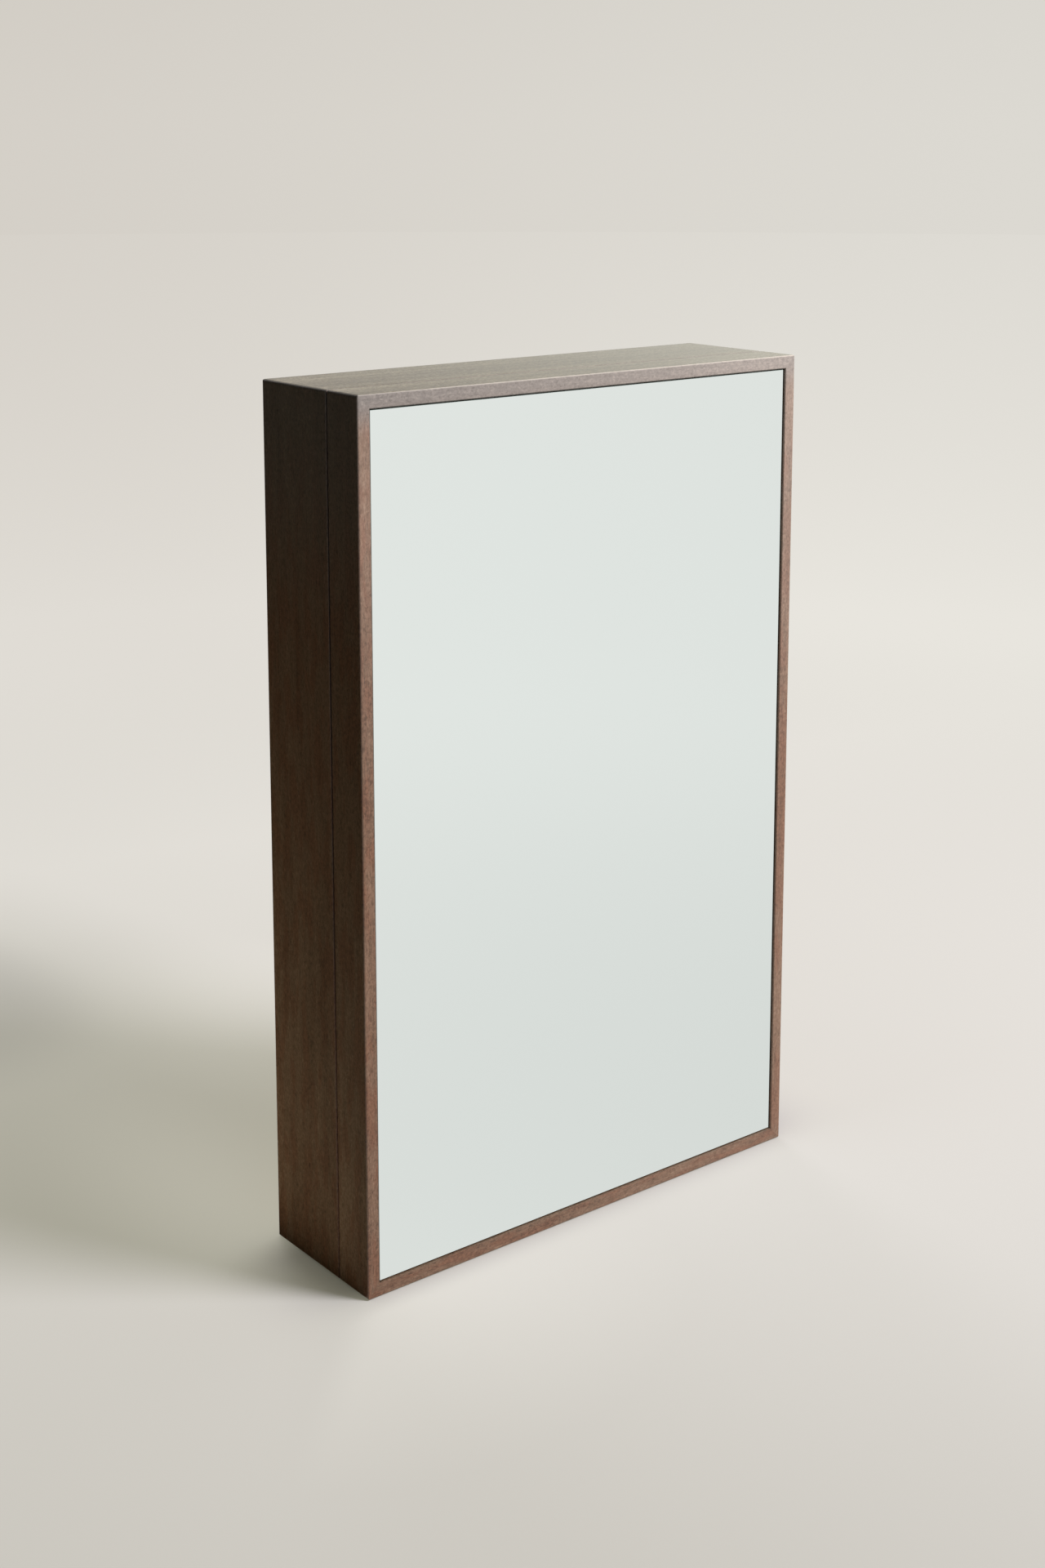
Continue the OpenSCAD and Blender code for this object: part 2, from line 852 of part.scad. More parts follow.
// Pin through a hinge, with its head on the top knuckle
module hinge_pin(z) {
  color(brass)
    translate([axis_x, seam_y, z - hinge_l / 2]) {
      cylinder(h = hinge_l, r = pin_r);
      translate([0, 0, hinge_l]) cylinder(h = pin_head_t, r = pin_head_r);
    }
}

module upper_hinge_pin() {
  hinge_pin(cab_h - hinge_in);
}

module lower_hinge_pin() {
  hinge_pin(hinge_in);
}

module door_left_stile() {
  color(walnut)
    difference() {
      left_upright(front_y, door_d);
      door_cuts();
      door_rod_seats();
      disc_seats(door_back_y - plate_t, plate_t + past, fit_gap / 2);
    }
}

module door_right_stile() {
  color(walnut)
    difference() {
      mirror([1, 0, 0]) left_upright(front_y, door_d);
      door_cuts();
      door_rod_seats();
      leaf_mortises(door_leaf_y - leaf_t);
      at_leaf_screws(hinge_heights, door_leaf_y, -90) screw_hole(leaf_screw_l);
    }
}

module door_top_rail() {
  color(walnut)
    difference() {
      to_top() bottom_board(front_y, door_d);
      door_cuts();
    }
}

module door_bottom_rail() {
  color(walnut)
    difference() {
      bottom_board(front_y, door_d);
      door_cuts();
    }
}

module door_corner_splines() {
  color(plywood) splines(door_lining_y, door_back_y, 0);
}

// Cross-section of the glass, its front face at y = 0 and its front edges ground off
module glass_section(width) {
  side_x = width / 2;
  face_x = side_x - mirror_arris;
  polygon([[-face_x, 0], [face_x, 0], [side_x, mirror_arris], [side_x, mirror_t],
           [-side_x, mirror_t], [-side_x, mirror_arris]]);
}

module mirror_glass() {
  color(silver)
    intersection() {
      translate([0, mirror_y, floor_z])
        linear_extrude(ceil_z - floor_z) glass_section(2 * (inner_x - mirror_gap));
      translate([-inner_x, mirror_y, cab_h / 2])
        rotate([0, 90, 0])
          linear_extrude(2 * inner_x) glass_section(ceil_z - floor_z - 2 * mirror_gap);
    }
}

module mirror_tape() {
  color(foam)
    for (i = [-1 : 1])
      translate([i * tape_span / 2 - tape_w / 2, tape_y, (cab_h - tape_l) / 2])
        cube([tape_w, tape_t, tape_l]);
}

module backing_panel() {
  color(plywood) grooved_panel(backing_y, backing_t, 0);
}

module door_lining() {
  color(linen) loose_panel(door_lining_y, door_lining_t, fit_gap);
}

module earring_bars() {
  color(brass)
    for (z = bar_heights)
      rod_across(door_rod_r, bar_y, z, 0);
}

module door_ledges() {
  color(inner_walnut)
    for (z = ledge_heights)
      translate([-inner_x, door_clear_y, z]) cube([2 * inner_x, ledge_d, ledge_t]);
}

module ledge_rails() {
  color(brass)
    for (z = rail_heights)
      rod_across(door_rod_r, bar_y, z, 0);
}

module door_rod_roses() {
  color(brass)
    for (z = concat(bar_heights, rail_heights))
      rod_roses(door_rod_r, bar_y, z);
}

case_left_side();
case_right_side();
case_top();
case_bottom();
case_corner_splines();
back_panel();
back_lining();
hanging_cleat();
lower_batten();
keyhole_hangers();
hanger_screws();
hook_rail();
necklace_hooks();
upper_shelf();
lower_shelf();
middle_divider();
cubby_shelf();
gallery_rod();
bracelet_rod();
case_rod_roses();
ring_tray();
ring_rolls();
bin_divider();
bin_front_lip();
bin_pads();
shelf_pads();
catch_magnets();
door_bumpers();
upper_hinge_case_leaf();
lower_hinge_case_leaf();
hinge_case_screws();
upper_hinge_pin();
lower_hinge_pin();
door_left_stile();
door_right_stile();
door_top_rail();
door_bottom_rail();
door_corner_splines();
mirror_glass();
mirror_tape();
backing_panel();
door_lining();
earring_bars();
door_ledges();
ledge_rails();
door_rod_roses();
catch_plates();
upper_hinge_door_leaf();
lower_hinge_door_leaf();
hinge_door_screws();
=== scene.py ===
import math

import bmesh
import bpy
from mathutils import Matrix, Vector, noise


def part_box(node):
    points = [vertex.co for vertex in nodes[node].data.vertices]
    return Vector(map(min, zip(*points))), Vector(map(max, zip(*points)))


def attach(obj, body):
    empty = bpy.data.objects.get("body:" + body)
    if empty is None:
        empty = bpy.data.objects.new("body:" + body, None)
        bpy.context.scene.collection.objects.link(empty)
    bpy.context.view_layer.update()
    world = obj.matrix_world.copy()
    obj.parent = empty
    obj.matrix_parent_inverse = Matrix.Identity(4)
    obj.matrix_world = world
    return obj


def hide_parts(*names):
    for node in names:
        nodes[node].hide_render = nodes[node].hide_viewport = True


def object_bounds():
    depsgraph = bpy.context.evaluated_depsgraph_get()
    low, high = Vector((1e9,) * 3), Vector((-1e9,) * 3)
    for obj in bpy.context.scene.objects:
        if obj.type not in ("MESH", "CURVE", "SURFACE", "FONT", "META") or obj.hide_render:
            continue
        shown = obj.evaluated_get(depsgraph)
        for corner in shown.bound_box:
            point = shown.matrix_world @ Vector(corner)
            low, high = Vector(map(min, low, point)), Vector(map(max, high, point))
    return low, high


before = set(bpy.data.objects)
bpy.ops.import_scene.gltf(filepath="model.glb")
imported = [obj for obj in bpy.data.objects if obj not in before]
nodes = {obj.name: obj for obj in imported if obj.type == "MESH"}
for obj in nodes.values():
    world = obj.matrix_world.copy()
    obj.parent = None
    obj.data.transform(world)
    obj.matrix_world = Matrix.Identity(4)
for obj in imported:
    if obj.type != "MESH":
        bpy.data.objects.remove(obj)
cad_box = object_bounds()


# Camera: it stands to the left of the cabinet and a little above it, and looks down by a few
# degrees, with its lens shifted so that the uprights stay nearly parallel.
CAMERA_AT = (-0.9385, -1.1610, 0.7654)
CAMERA_TURN = 0.6710
CAMERA_DOWN = 0.1651
scene = bpy.context.scene


def new_object(name, data):
    """A new object of the scene."""
    made = bpy.data.objects.new(name, data)
    scene.collection.objects.link(made)
    return made


camera_data = bpy.data.cameras.new("camera")
camera_data.sensor_width = 36
camera_data.lens = 50.24
camera_data.shift_y = -0.19
camera = new_object("camera", camera_data)
camera.location = CAMERA_AT
camera.rotation_euler = (math.pi / 2 - CAMERA_DOWN, 0, -CAMERA_TURN)
scene.camera = camera
scene.view_settings.view_transform = "Standard"


# Studio: one seamless warm white floor that runs into the backdrop, a wide soft light at the
# right front, and a weaker round one behind the cabinet. No black flag stands on the left: in
# its place the floor and backdrop there are painted dark for reflections and bounce light only,
# a painted shade that keeps that side of the cabinet dark.
def linear(red, green, blue):
    """A colour of 0 to 255 as the linear RGBA that shaders take."""
    shares = (value / 255 for value in (red, green, blue))
    return (*(s / 12.92 if s <= 0.04045 else ((s + 0.055) / 1.055) ** 2.4 for s in shares), 1)


class Wire:
    """A node's output. Sums, products and comparisons of wires add the nodes that make them."""

    def __init__(self, tree, socket):
        self.tree, self.socket = tree, socket

    def __add__(self, other):
        return compute("ADD", self, other)

    def __sub__(self, other):
        return compute("SUBTRACT", self, other)

    def __rsub__(self, other):
        return compute("SUBTRACT", other, self)

    def __mul__(self, other):
        return compute("MULTIPLY", self, other)

    def __truediv__(self, other):
        return compute("DIVIDE", self, other)

    def __rtruediv__(self, other):
        return compute("DIVIDE", other, self)

    def __lt__(self, other):
        return compute("LESS_THAN", self, other)

    def __gt__(self, other):
        return compute("GREATER_THAN", self, other)

    def __abs__(self):
        return compute("ABSOLUTE", self)


def add_node(tree, kind, inputs=(), **settings):
    """Adds a node and fills its inputs, by name or in order, with values or wires."""
    node = tree.nodes.new(kind)
    for name, value in settings.items():
        setattr(node, name, value)
    for name, value in inputs.items() if isinstance(inputs, dict) else enumerate(inputs):
        if isinstance(value, Wire):
            tree.links.new(value.socket, node.inputs[name])
        else:
            node.inputs[name].default_value = value
    return node


def output(tree, kind, inputs=(), which=0, **settings):
    """Adds a node and hands out one of its outputs."""
    return Wire(tree, add_node(tree, kind, inputs, **settings).outputs[which])


def compute(operation, *values):
    """The result of a Math node, or of a Vector Math node where a wire is a vector."""
    wire = next(value for value in values if isinstance(value, Wire))
    kind = "ShaderNodeVectorMath" if wire.socket.type == "VECTOR" else "ShaderNodeMath"
    return output(wire.tree, kind, values, operation=operation)


def higher(first, second):
    return compute("MAXIMUM", first, second)


def lower(first, second):
    return compute("MINIMUM", first, second)


def eased(value, low, high, to_low=0.0, to_high=1.0, kind="SMOOTHSTEP"):
    """A value carried over from one range to another, gently at both ends."""
    inputs = {"Value": value, "From Min": low, "From Max": high, "To Min": to_low, "To Max": to_high}
    return output(value.tree, "ShaderNodeMapRange", inputs, interpolation_type=kind)


def straight(value, low, high, to_low=0.0, to_high=1.0):
    """A value carried over from one range to another in a straight line."""
    return eased(value, low, high, to_low, to_high, "LINEAR")


def mix(share, first, second, blend_type="MIX"):
    """The colour that a Mix node makes of two colours."""
    inputs = {"Factor": share, 6: first, 7: second}
    return output(share.tree, "ShaderNodeMix", inputs, 2, data_type="RGBA", blend_type=blend_type)


def split(vector):
    sockets = add_node(vector.tree, "ShaderNodeSeparateXYZ", [vector]).outputs
    return [Wire(vector.tree, socket) for socket in sockets]


def mapped(where, **changes):
    """A place moved, turned or scaled by a Mapping node."""
    return output(where.tree, "ShaderNodeMapping", {"Vector": where, **changes})


def new_material(name):
    """An empty material, and the wire that says where a point is in the cabinet's frame."""
    material = bpy.data.materials.new(name)
    material.use_nodes = True
    material.node_tree.nodes.clear()
    return material, output(material.node_tree, "ShaderNodeTexCoord", (), "Object")


def matt(tree, color):
    return output(tree, "ShaderNodeBsdfDiffuse", {"Color": color, "Roughness": 0.4})


def glowing(tree, color, strength=1.0):
    return output(tree, "ShaderNodeEmission", {"Color": color, "Strength": strength})


def together(first, second):
    return output(first.tree, "ShaderNodeAddShader", [first, second])


def mix_shaders(share, first, second):
    return output(share.tree, "ShaderNodeMixShader", [share, first, second])


def rays(tree):
    """1 for a ray straight from the camera, and 1 for one that has come off something glossy or
    through something clear."""
    path = add_node(tree, "ShaderNodeLightPath").outputs
    seen, glossy, through = (
        Wire(tree, path[f"Is {kind} Ray"]) for kind in ("Camera", "Glossy", "Transmission")
    )
    return seen, higher(glossy, through)


HORIZON_TONES = linear(212, 207, 199), linear(220, 217, 210)
SKY_TONES = linear(204, 199, 190), linear(212, 209, 202)
SWEEP_TONES = linear(224, 220, 213), linear(232, 229, 222)
IN_GLOSS_NEAR = linear(227, 230, 227)
IN_GLOSS_FAR = linear(239, 242, 239)
# Painted shade that reflections see on the left and behind, in place of a black flag.
FLAG_SHADE = (0.036, 0.028, 0.008, 1)
FLAG_SHADE_FAR = (0.045, 0.052, 0.036, 1)


def side_to_side(heading_x, tones):
    """The backdrop's colour by how far a level heading points to the right."""
    return mix(eased(heading_x, 0.35, 0.82), *tones)


def with_painted_shade(beside, behind, color, shade=FLAG_SHADE):
    """A colour as wood and metal see it, painted dark behind on the left in place of a flag."""
    return mix(beside * behind, color, shade)


def from_middle(place, middle, reach):
    """How far a point of the floor is from the middle of an oval, 1 being its rim."""
    offset = mapped(place - (*middle, 0), Scale=(1 / reach[0], 1 / reach[1], 1))
    return output(place.tree, "ShaderNodeVectorMath", [offset], "Value", operation="LENGTH")


FLOOR_RADIUS = 14
FLOOR_DROP = 0.0003
FLOOR_PAINT = linear(177, 174, 180)
FLOOR_GLOW_LOW = linear(117, 115, 88)
FLOOR_GLOW_HIGH = linear(177, 175, 162)
FLOOR_BOUNCE = linear(176, 170, 160)
FOOT_GLOW = linear(76, 75, 72)
# Painted shade on the floor's left, for bounce light only.
FLOOR_PAINTED_SHADE = linear(34, 31, 27)
SIDE_GLOW = linear(255, 244, 205)
REAR_OVAL = ((-0.1988, 0.0882), (0.1205, 0.2941))
THROWN_OVAL = ((-0.19, -0.0667), (0.2, 0.1667))
EDGE_OVAL = ((-0.01, 0.42), (0.15, 0.24))
DIP_OVAL = ((-0.21, 0.60), (0.15, 0.24))
NOOK_REACH = 0.085

disc = bmesh.new()
bmesh.ops.create_circle(disc, cap_ends=True, segments=96, radius=FLOOR_RADIUS)
bmesh.ops.translate(disc, verts=disc.verts, vec=(0, 0, -FLOOR_DROP))


def mesh_from(name, work):
    mesh = bpy.data.meshes.new(name)
    work.to_mesh(mesh)
    work.free()
    return mesh


floor = new_object("floor", mesh_from("floor", disc))

floor_material, place = new_material("floor_paint")
floor_material.cycles.emission_sampling = "NONE"
floor.data.materials.append(floor_material)
tree = place.tree
away = output(tree, "ShaderNodeVectorMath", [place], "Value", operation="LENGTH")
heading_x = split(compute("NORMALIZE", place))[0]
x, y, _ = split(place)

# The floor as the camera sees it: matt paint, with the soft light of a white room laid over it,
# which runs into the backdrop further off. The light fades at the foot of the left side. It is
# stronger beside the foot, in front, where the mirror throws light back, and at the near end of
# the shadow's edge, and weaker at that edge's far end.
slope = straight(x * 0.03 + y * 0.175, -0.15, 0.15)
glow_color = mix(slope, FLOOR_GLOW_LOW, FLOOR_GLOW_HIGH)
rear_lift = eased(from_middle(place, *REAR_OVAL), 1.0, 0.0) * eased(y, -0.01, 0.06)
thrown = straight(from_middle(place, *THROWN_OVAL), 1.1, 0.0)
thrown = thrown * eased(x - y, -0.160, -0.115) * eased(y, -0.056, -0.075)
edge_lift = eased(from_middle(place, *EDGE_OVAL), 1.0, 0.0)
glow_color = mix(rear_lift + thrown + edge_lift, glow_color, FOOT_GLOW, "ADD")
far_dip = eased(from_middle(place, *DIP_OVAL), 1.0, 0.4, 0.0, 0.155)
nook = output(tree, "ShaderNodeAmbientOcclusion", {"Distance": NOOK_REACH}, "AO", samples=12)
shaded = eased(nook, 1.0, 0.42, 0.0, 0.73) * eased(y, -0.080, -0.03) * eased(y, 0.075, 0.02)
near = together(matt(tree, FLOOR_PAINT), glowing(tree, glow_color, 1.0 - (shaded + far_dip)))
horizon = side_to_side(heading_x, HORIZON_TONES)
sweep = side_to_side(heading_x, SWEEP_TONES)
far = glowing(tree, mix(straight(2.0 / away, 0.0, 1.0), horizon, sweep))
seen = mix_shaders(eased(away, 0.8, 1.9), near, far)

# The floor as it lights the cabinet: paint with painted shade on the left in place of a flag,
# and a warm glow at the foot of the left side.
bounce_color = mix(eased(x, -0.32, -0.06), FLOOR_PAINTED_SHADE, FLOOR_BOUNCE)
pool = eased(x, -0.65, -0.45) * eased(x, -0.205, -0.27) * eased(y, -0.10, -0.03)
pool = pool * eased(y, 0.9, 0.4)
lit = together(matt(tree, bounce_color), glowing(tree, SIDE_GLOW, pool))

# The floor as glass and metal reflect it, a little darker to the right.
dimming = straight(x / (abs(y) + 0.35), -0.3, 0.95, 1.0, 0.935)
glossy_color = mix(eased(away, 0.0, 1.5), IN_GLOSS_NEAR, IN_GLOSS_FAR)
shade = mix(eased(away, 1.4, 3.2), FLAG_SHADE, FLAG_SHADE_FAR)
# Behind the cabinet on the left, reflections see painted shade in place of a flag.
glossy_color = with_painted_shade(eased(x, -0.180, -0.188), eased(y, -0.0545, -0.048), glossy_color, shade)
from_camera, from_gloss = rays(tree)
lit_or_seen = mix_shaders(from_camera, lit, seen)
surface = mix_shaders(from_gloss, lit_or_seen, glowing(tree, glossy_color, dimming))
add_node(tree, "ShaderNodeOutputMaterial", {"Surface": surface})

AMBIENT_OPEN = 0.29
AMBIENT_FLAGGED = 0.0
world = bpy.data.worlds.new("backdrop")
scene.world = world
world.use_nodes = True
world.cycles.sampling_method = "NONE"
tree = world.node_tree
tree.nodes.clear()
heading_x, heading_y, heading_z = split(output(tree, "ShaderNodeTexCoord", (), "Generated"))
from_camera, from_gloss = rays(tree)
horizon = side_to_side(heading_x, HORIZON_TONES)
sky = side_to_side(heading_x, SKY_TONES)
backdrop_color = mix(straight(heading_z, 0.0, 0.2), horizon, sky)
# The backdrop as wood and metal reflect it: painted shade behind on the left.
glossy_color = with_painted_shade(eased(heading_x, 0.05, -0.25), eased(heading_y, 0.0, 0.3), IN_GLOSS_FAR)
seen_color = mix(from_camera, glossy_color, backdrop_color)
ambient = eased(heading_x, -0.08, 0.36, AMBIENT_FLAGGED, AMBIENT_OPEN)
strength = higher(higher(from_gloss, from_camera), ambient)
backdrop = output(tree, "ShaderNodeBackground", {"Color": seen_color, "Strength": strength})
add_node(tree, "ShaderNodeOutputWorld", {"Surface": backdrop})


def soft_light(name, at, aim, width, height, power, color):
    """A soft box that faces a point of the cabinet and doesn't show in the mirror."""
    data = bpy.data.lights.new(name, "AREA")
    data.shape = "ELLIPSE"
    data.size, data.size_y = width, height
    data.energy = power
    data.color = color
    lamp = new_object(name, data)
    lamp.location = at
    lamp.rotation_euler = (Vector(at) - Vector(aim)).to_track_quat("Z", "Y").to_euler()
    lamp.visible_glossy = False


soft_light(
    "key_light", at=(0.87, -1.30, 1.68), aim=(0, 0, 0.25),
    width=0.8, height=0.36, power=53, color=(1.0, 0.985, 0.97),
)
soft_light(
    "back_light", at=(0.9, 2.7, 1.7), aim=(0, 0, 0.3),
    width=1.4, height=1.4, power=26, color=(1.0, 0.98, 0.96),
)


# Case boards: four boards of walnut, 9.5 mm thick, mitred at the corners with the grain running
# round the cabinet, their outer edges eased by hand and the whole oiled matt.
def principled(material, color, bump=None, **values):
    """Ends a material in one Principled shader. The bump is a height, a strength and a distance,
    and a value such as Coat_Weight goes to the socket Coat Weight."""
    tree = material.node_tree
    inputs = {"Base Color": color}
    for name, value in values.items():
        inputs[name.replace("_", " ")] = value
    if bump:
        height, strength, distance = bump
        raised = {"Height": height, "Strength": strength, "Distance": distance}
        inputs["Normal"] = output(tree, "ShaderNodeBump", raised)
    shader = output(tree, "ShaderNodeBsdfPrincipled", inputs)
    add_node(tree, "ShaderNodeOutputMaterial", {"Surface": shader})
    return material


def noisy(where, scale, detail=2.0, roughness=0.5, distortion=0.0):
    """Noise with its own scale along each axis."""
    inputs = {"Vector": mapped(where, Scale=scale), "Scale": 1.0, "Detail": detail}
    inputs.update({"Roughness": roughness, "Distortion": distortion})
    return output(where.tree, "ShaderNodeTexNoise", inputs)


def color_ramp(value, stops):
    """A Color Ramp's colour for a value, its stops given as (place, red, green, blue)."""
    ramp = add_node(value.tree, "ShaderNodeValToRGB", [value])
    elements = ramp.color_ramp.elements
    first, *between, last = [(place, linear(*color)) for place, *color in stops]
    elements[0].position, elements[0].color = first
    elements[1].position, elements[1].color = last
    for place, color in between:
        elements.new(place).color = color
    return Wire(value.tree, ramp.outputs[0])


def facing(place):
    """The X, Y and Z of the way a surface faces."""
    return split(output(place.tree, "ShaderNodeTexCoord", (), "Normal"))


# The grey tones stand for a painted sheen on the top rail and upper sides, and the tones for faces
# that look up are darker as a painted shade.
WALNUT_TONES = {
    "outer": [(0.38, 94, 67, 49), (0.48, 130, 98, 77), (0.56, 147, 113, 92), (0.68, 170, 137, 115)],
    "grey_sheen": [(0.38, 89, 83, 81), (0.48, 120, 114, 112), (0.56, 131, 125, 123), (0.66, 163, 153, 148)],
    "shaded_top": [(0.40, 58, 48, 36), (0.48, 100, 86, 67), (0.54, 118, 104, 83), (0.62, 158, 144, 121)],
    "inner": [(0.38, 80, 58, 43), (0.48, 111, 85, 65), (0.56, 126, 98, 77), (0.68, 148, 119, 96)],
}
# Below, blush and pore are the wood's own colour; the next two are a painted sheen, the pale one after
# them slight wear under a painted highlight, and the last two painted shade.
WALNUT_BLUSH = linear(168, 118, 92)
WALNUT_PAINTED_SHEEN = linear(188, 175, 168)
WALNUT_TOP_SHEEN = linear(176, 173, 160)
WALNUT_PORE = linear(70, 47, 34)
WALNUT_WEAR_AND_HIGHLIGHT = linear(226, 218, 206)
WALNUT_REBATE_SHADE = linear(58, 53, 46)
WALNUT_SEAM_SHADE = linear(30, 22, 16)
WALNUT_OIL = 0.25
GRAIN_TURN = {"X": (0, 0, 0), "Z": (0, math.pi / 2, 0)}

SHUT_LOW = Vector(cad_box[0])
SHUT_HIGH = Vector((-cad_box[0].x, cad_box[1].y, cad_box[1].z))
SEAM_Y = (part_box("door_top_rail")[1].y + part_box("case_top")[0].y) / 2
OPENING = [Vector(corner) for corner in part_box("door_lining")]
OPENING_MIDDLE = (OPENING[0] + OPENING[1]) / 2
OPENING_REACH = (OPENING[1] - OPENING[0]) / 2 + Vector((0.0001, 0.0001, 0.0001))


def box_middle(node):
    low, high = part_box(node)
    return (low + high) / 2


def edge_nearness(place, low, high):
    """From 0 on the flats to 1 on the outer edges of the box between two corners; from 0 inside the
    box to 1 at its sides, top and bottom; and from 0 inside to 1 at any of its faces."""
    x, y, z = split(tuple((high - low) / 2) - abs(place - (low + high) / 2))
    lesser = lower(x, y)
    second = higher(lesser, lower(higher(x, y), z))
    return (
        eased(second, 0.0002, 0.0010, 1, 0),
        eased(lower(x, z), 0.0005, 0.0014, 1, 0),
        eased(lower(lesser, z), 0.0008, 0.0014, 1, 0),
    )


def paint_light_and_wear(place, wood, tone, speckle):
    """Walnut with painted light and slight wear: a painted sheen makes it paler and greyer
    towards the top of the cabinet and to the right, most of all on the faces that look up,
    which are also painted darker as shade; a painted highlight lies along the brow of the door;
    and painted shade darkens a band round the mirror opening and the inside of the seam."""
    x, y, z = split(place)
    facing_x, facing_y, facing_z = facing(place)
    nearness, skin, outside = edge_nearness(place, SHUT_LOW, SHUT_HIGH)
    across = (SHUT_LOW.x, SHUT_HIGH.x)
    uneven = straight(speckle, 0.3, 0.7, 0.75, 1.2)
    sideways = eased(abs(facing_x), 0.5, 0.9)
    frontal = (1 - sideways) * outside
    # Painted sheen: greyer tones along the top of the front and high on the sides.
    grey_sheen_share = eased(z, 0.570, 0.597) * frontal + eased(z, 0.42, 0.60) * sideways * 0.6
    wood = mix(grey_sheen_share * outside, wood, color_ramp(tone, WALNUT_TONES["grey_sheen"]))
    # Painted sheen on the front faces, growing towards the top and to the right.
    low = straight(x, *across, 0.02, 0.09)
    top = straight(x, *across, 0.25, 0.46)
    silvered = low + (top - low) * straight(z, 0.30, 0.60)
    front = mix(silvered * uneven * frontal, wood, WALNUT_PAINTED_SHEEN)
    # Faces that look up: darker tones as painted shade, under a painted sheen stronger to the right.
    top_sheen_share = straight(x, *across, 0.0, 0.62) * uneven
    above = mix(top_sheen_share, color_ramp(tone, WALNUT_TONES["shaded_top"]), WALNUT_TOP_SHEEN)
    color = mix(eased(facing_z, 0.75, 0.95) * outside, front, above)

    # A painted highlight along the front top edge of the door, over slight wear on all outer edges.
    brow_highlight = eased(z, SHUT_HIGH.z - 0.004, SHUT_HIGH.z - 0.001) * eased(y, -0.050, -0.053)
    brow_highlight = brow_highlight * eased(x, -0.20, -0.10, 0.25, 0.55)
    wear_and_highlight = nearness * higher(brow_highlight, 0.04)
    worn_and_highlit = mix(wear_and_highlight, color, WALNUT_WEAR_AND_HIGHLIGHT)
    # Painted shade in a band round the mirror opening.
    past_x, _, past_z = split(abs(place - OPENING_MIDDLE) - OPENING_REACH)
    rebate_shade = eased(higher(past_x, past_z), 0.0003, 0.0009, 0.4, 0.0) * eased(y, -0.040, -0.045)
    worn_and_highlit = mix(rebate_shade, worn_and_highlit, WALNUT_REBATE_SHADE)
    # Painted shade inside the seam between door and case, weaker lower down.
    sunk = eased(abs(facing_y), 0.1, 0.6) * eased(facing_z, 0.2, 0.6, 1.0, 0.4) * skin
    sunk = sunk * eased(z, 0.05, 0.40, 0.3, 1.0)
    seam_shade = eased(abs(y - SEAM_Y), 0.0012, 0.0006) * sunk
    return mix(seam_shade, worn_and_highlit, WALNUT_SEAM_SHADE), wear_and_highlight, seam_shade


def walnut(name, grain, pith, tones="outer"):
    """Oiled walnut, its grain along one axis. The pith is where the tree's heart lay beside the
    board, so that each board has rings of its own."""
    material, place = new_material(name)
    board = mapped(place, Location=pith, Rotation=GRAIN_TURN[grain])
    drift = noisy(board, (2.5, 16, 16), detail=3)
    inputs = {"Vector": mapped(board, Scale=(0.35, 1, 1)), "Scale": 26.0}
    inputs.update({"Distortion": 5.0, "Detail": 3.0, "Detail Scale": 0.6})
    ring_settings = {"wave_type": "RINGS", "rings_direction": "X"}
    rings = output(place.tree, "ShaderNodeTexWave", inputs, "Fac", **ring_settings)
    streaks = noisy(board, (9, 210, 210), detail=3, distortion=0.4)
    fibre = noisy(board, (60, 1300, 1300), roughness=0.6)
    speckle = noisy(board, (420, 640, 640), detail=3, distortion=0.8)
    tone = drift * 0.22 + rings * 0.03 + streaks * 0.13 + fibre * 0.20 + speckle * 0.46
    wood = color_ramp(tone, WALNUT_TONES[tones])
    redness = eased(noisy(board, (30, 130, 130)), 0.42, 0.62, 0, 0.45)
    wood = mix(redness, wood, WALNUT_BLUSH, "SOFT_LIGHT")
    pores = eased(noisy(board, (170, 2300, 2300), detail=1), 0.60, 0.68)
    wood = mix(pores * 0.5, wood, WALNUT_PORE)
    rough = fibre * 0.16 + pores * 0.10 + 0.44
    oil = WALNUT_OIL
    # Outer boards carry painted sheen, highlight and shade besides slight edge wear.
    if tones != "inner":
        wood, wear_and_highlight, seam_shade = paint_light_and_wear(place, wood, tone, speckle)
        rough = rough - wear_and_highlight * 0.12 + seam_shade * 0.4
        oil = eased(seam_shade, 0.0, 0.6, WALNUT_OIL, 0.0)
    bump = (fibre * 0.5 + speckle * 0.3 - pores * 0.7, 0.35, 0.0001)
    shine = {"Specular_IOR_Level": 0.45, "Coat_Weight": oil, "Coat_Roughness": 0.34}
    return principled(material, wood, bump, Roughness=rough, **shine)


def finish_node(node, finish, *details, **options):
    """Gives a carried-over CAD node a finish of its own."""
    materials = nodes[node].data.materials
    materials.clear()
    materials.append(finish(f"{finish.__name__}_{node}", *details, **options))


finish_node("case_left_side", walnut, "Z", (0.10, 0.14, 0.07))
finish_node("case_right_side", walnut, "Z", (0.55, -0.11, 0.16))
finish_node("case_top", walnut, "X", (0.21, 0.17, -0.48))
finish_node("case_bottom", walnut, "X", (0.83, 0.12, 0.15))


# Case splines: keys of birch plywood glued across the four mitres, hidden in the boards, where
# they keep the corners from opening.
BIRCH_TONES = [(0.35, 203, 179, 146), (0.50, 213, 191, 159), (0.70, 222, 203, 174)]
BIRCH_GLUE = linear(128, 96, 66)
PLY_PITCH = 0.00133


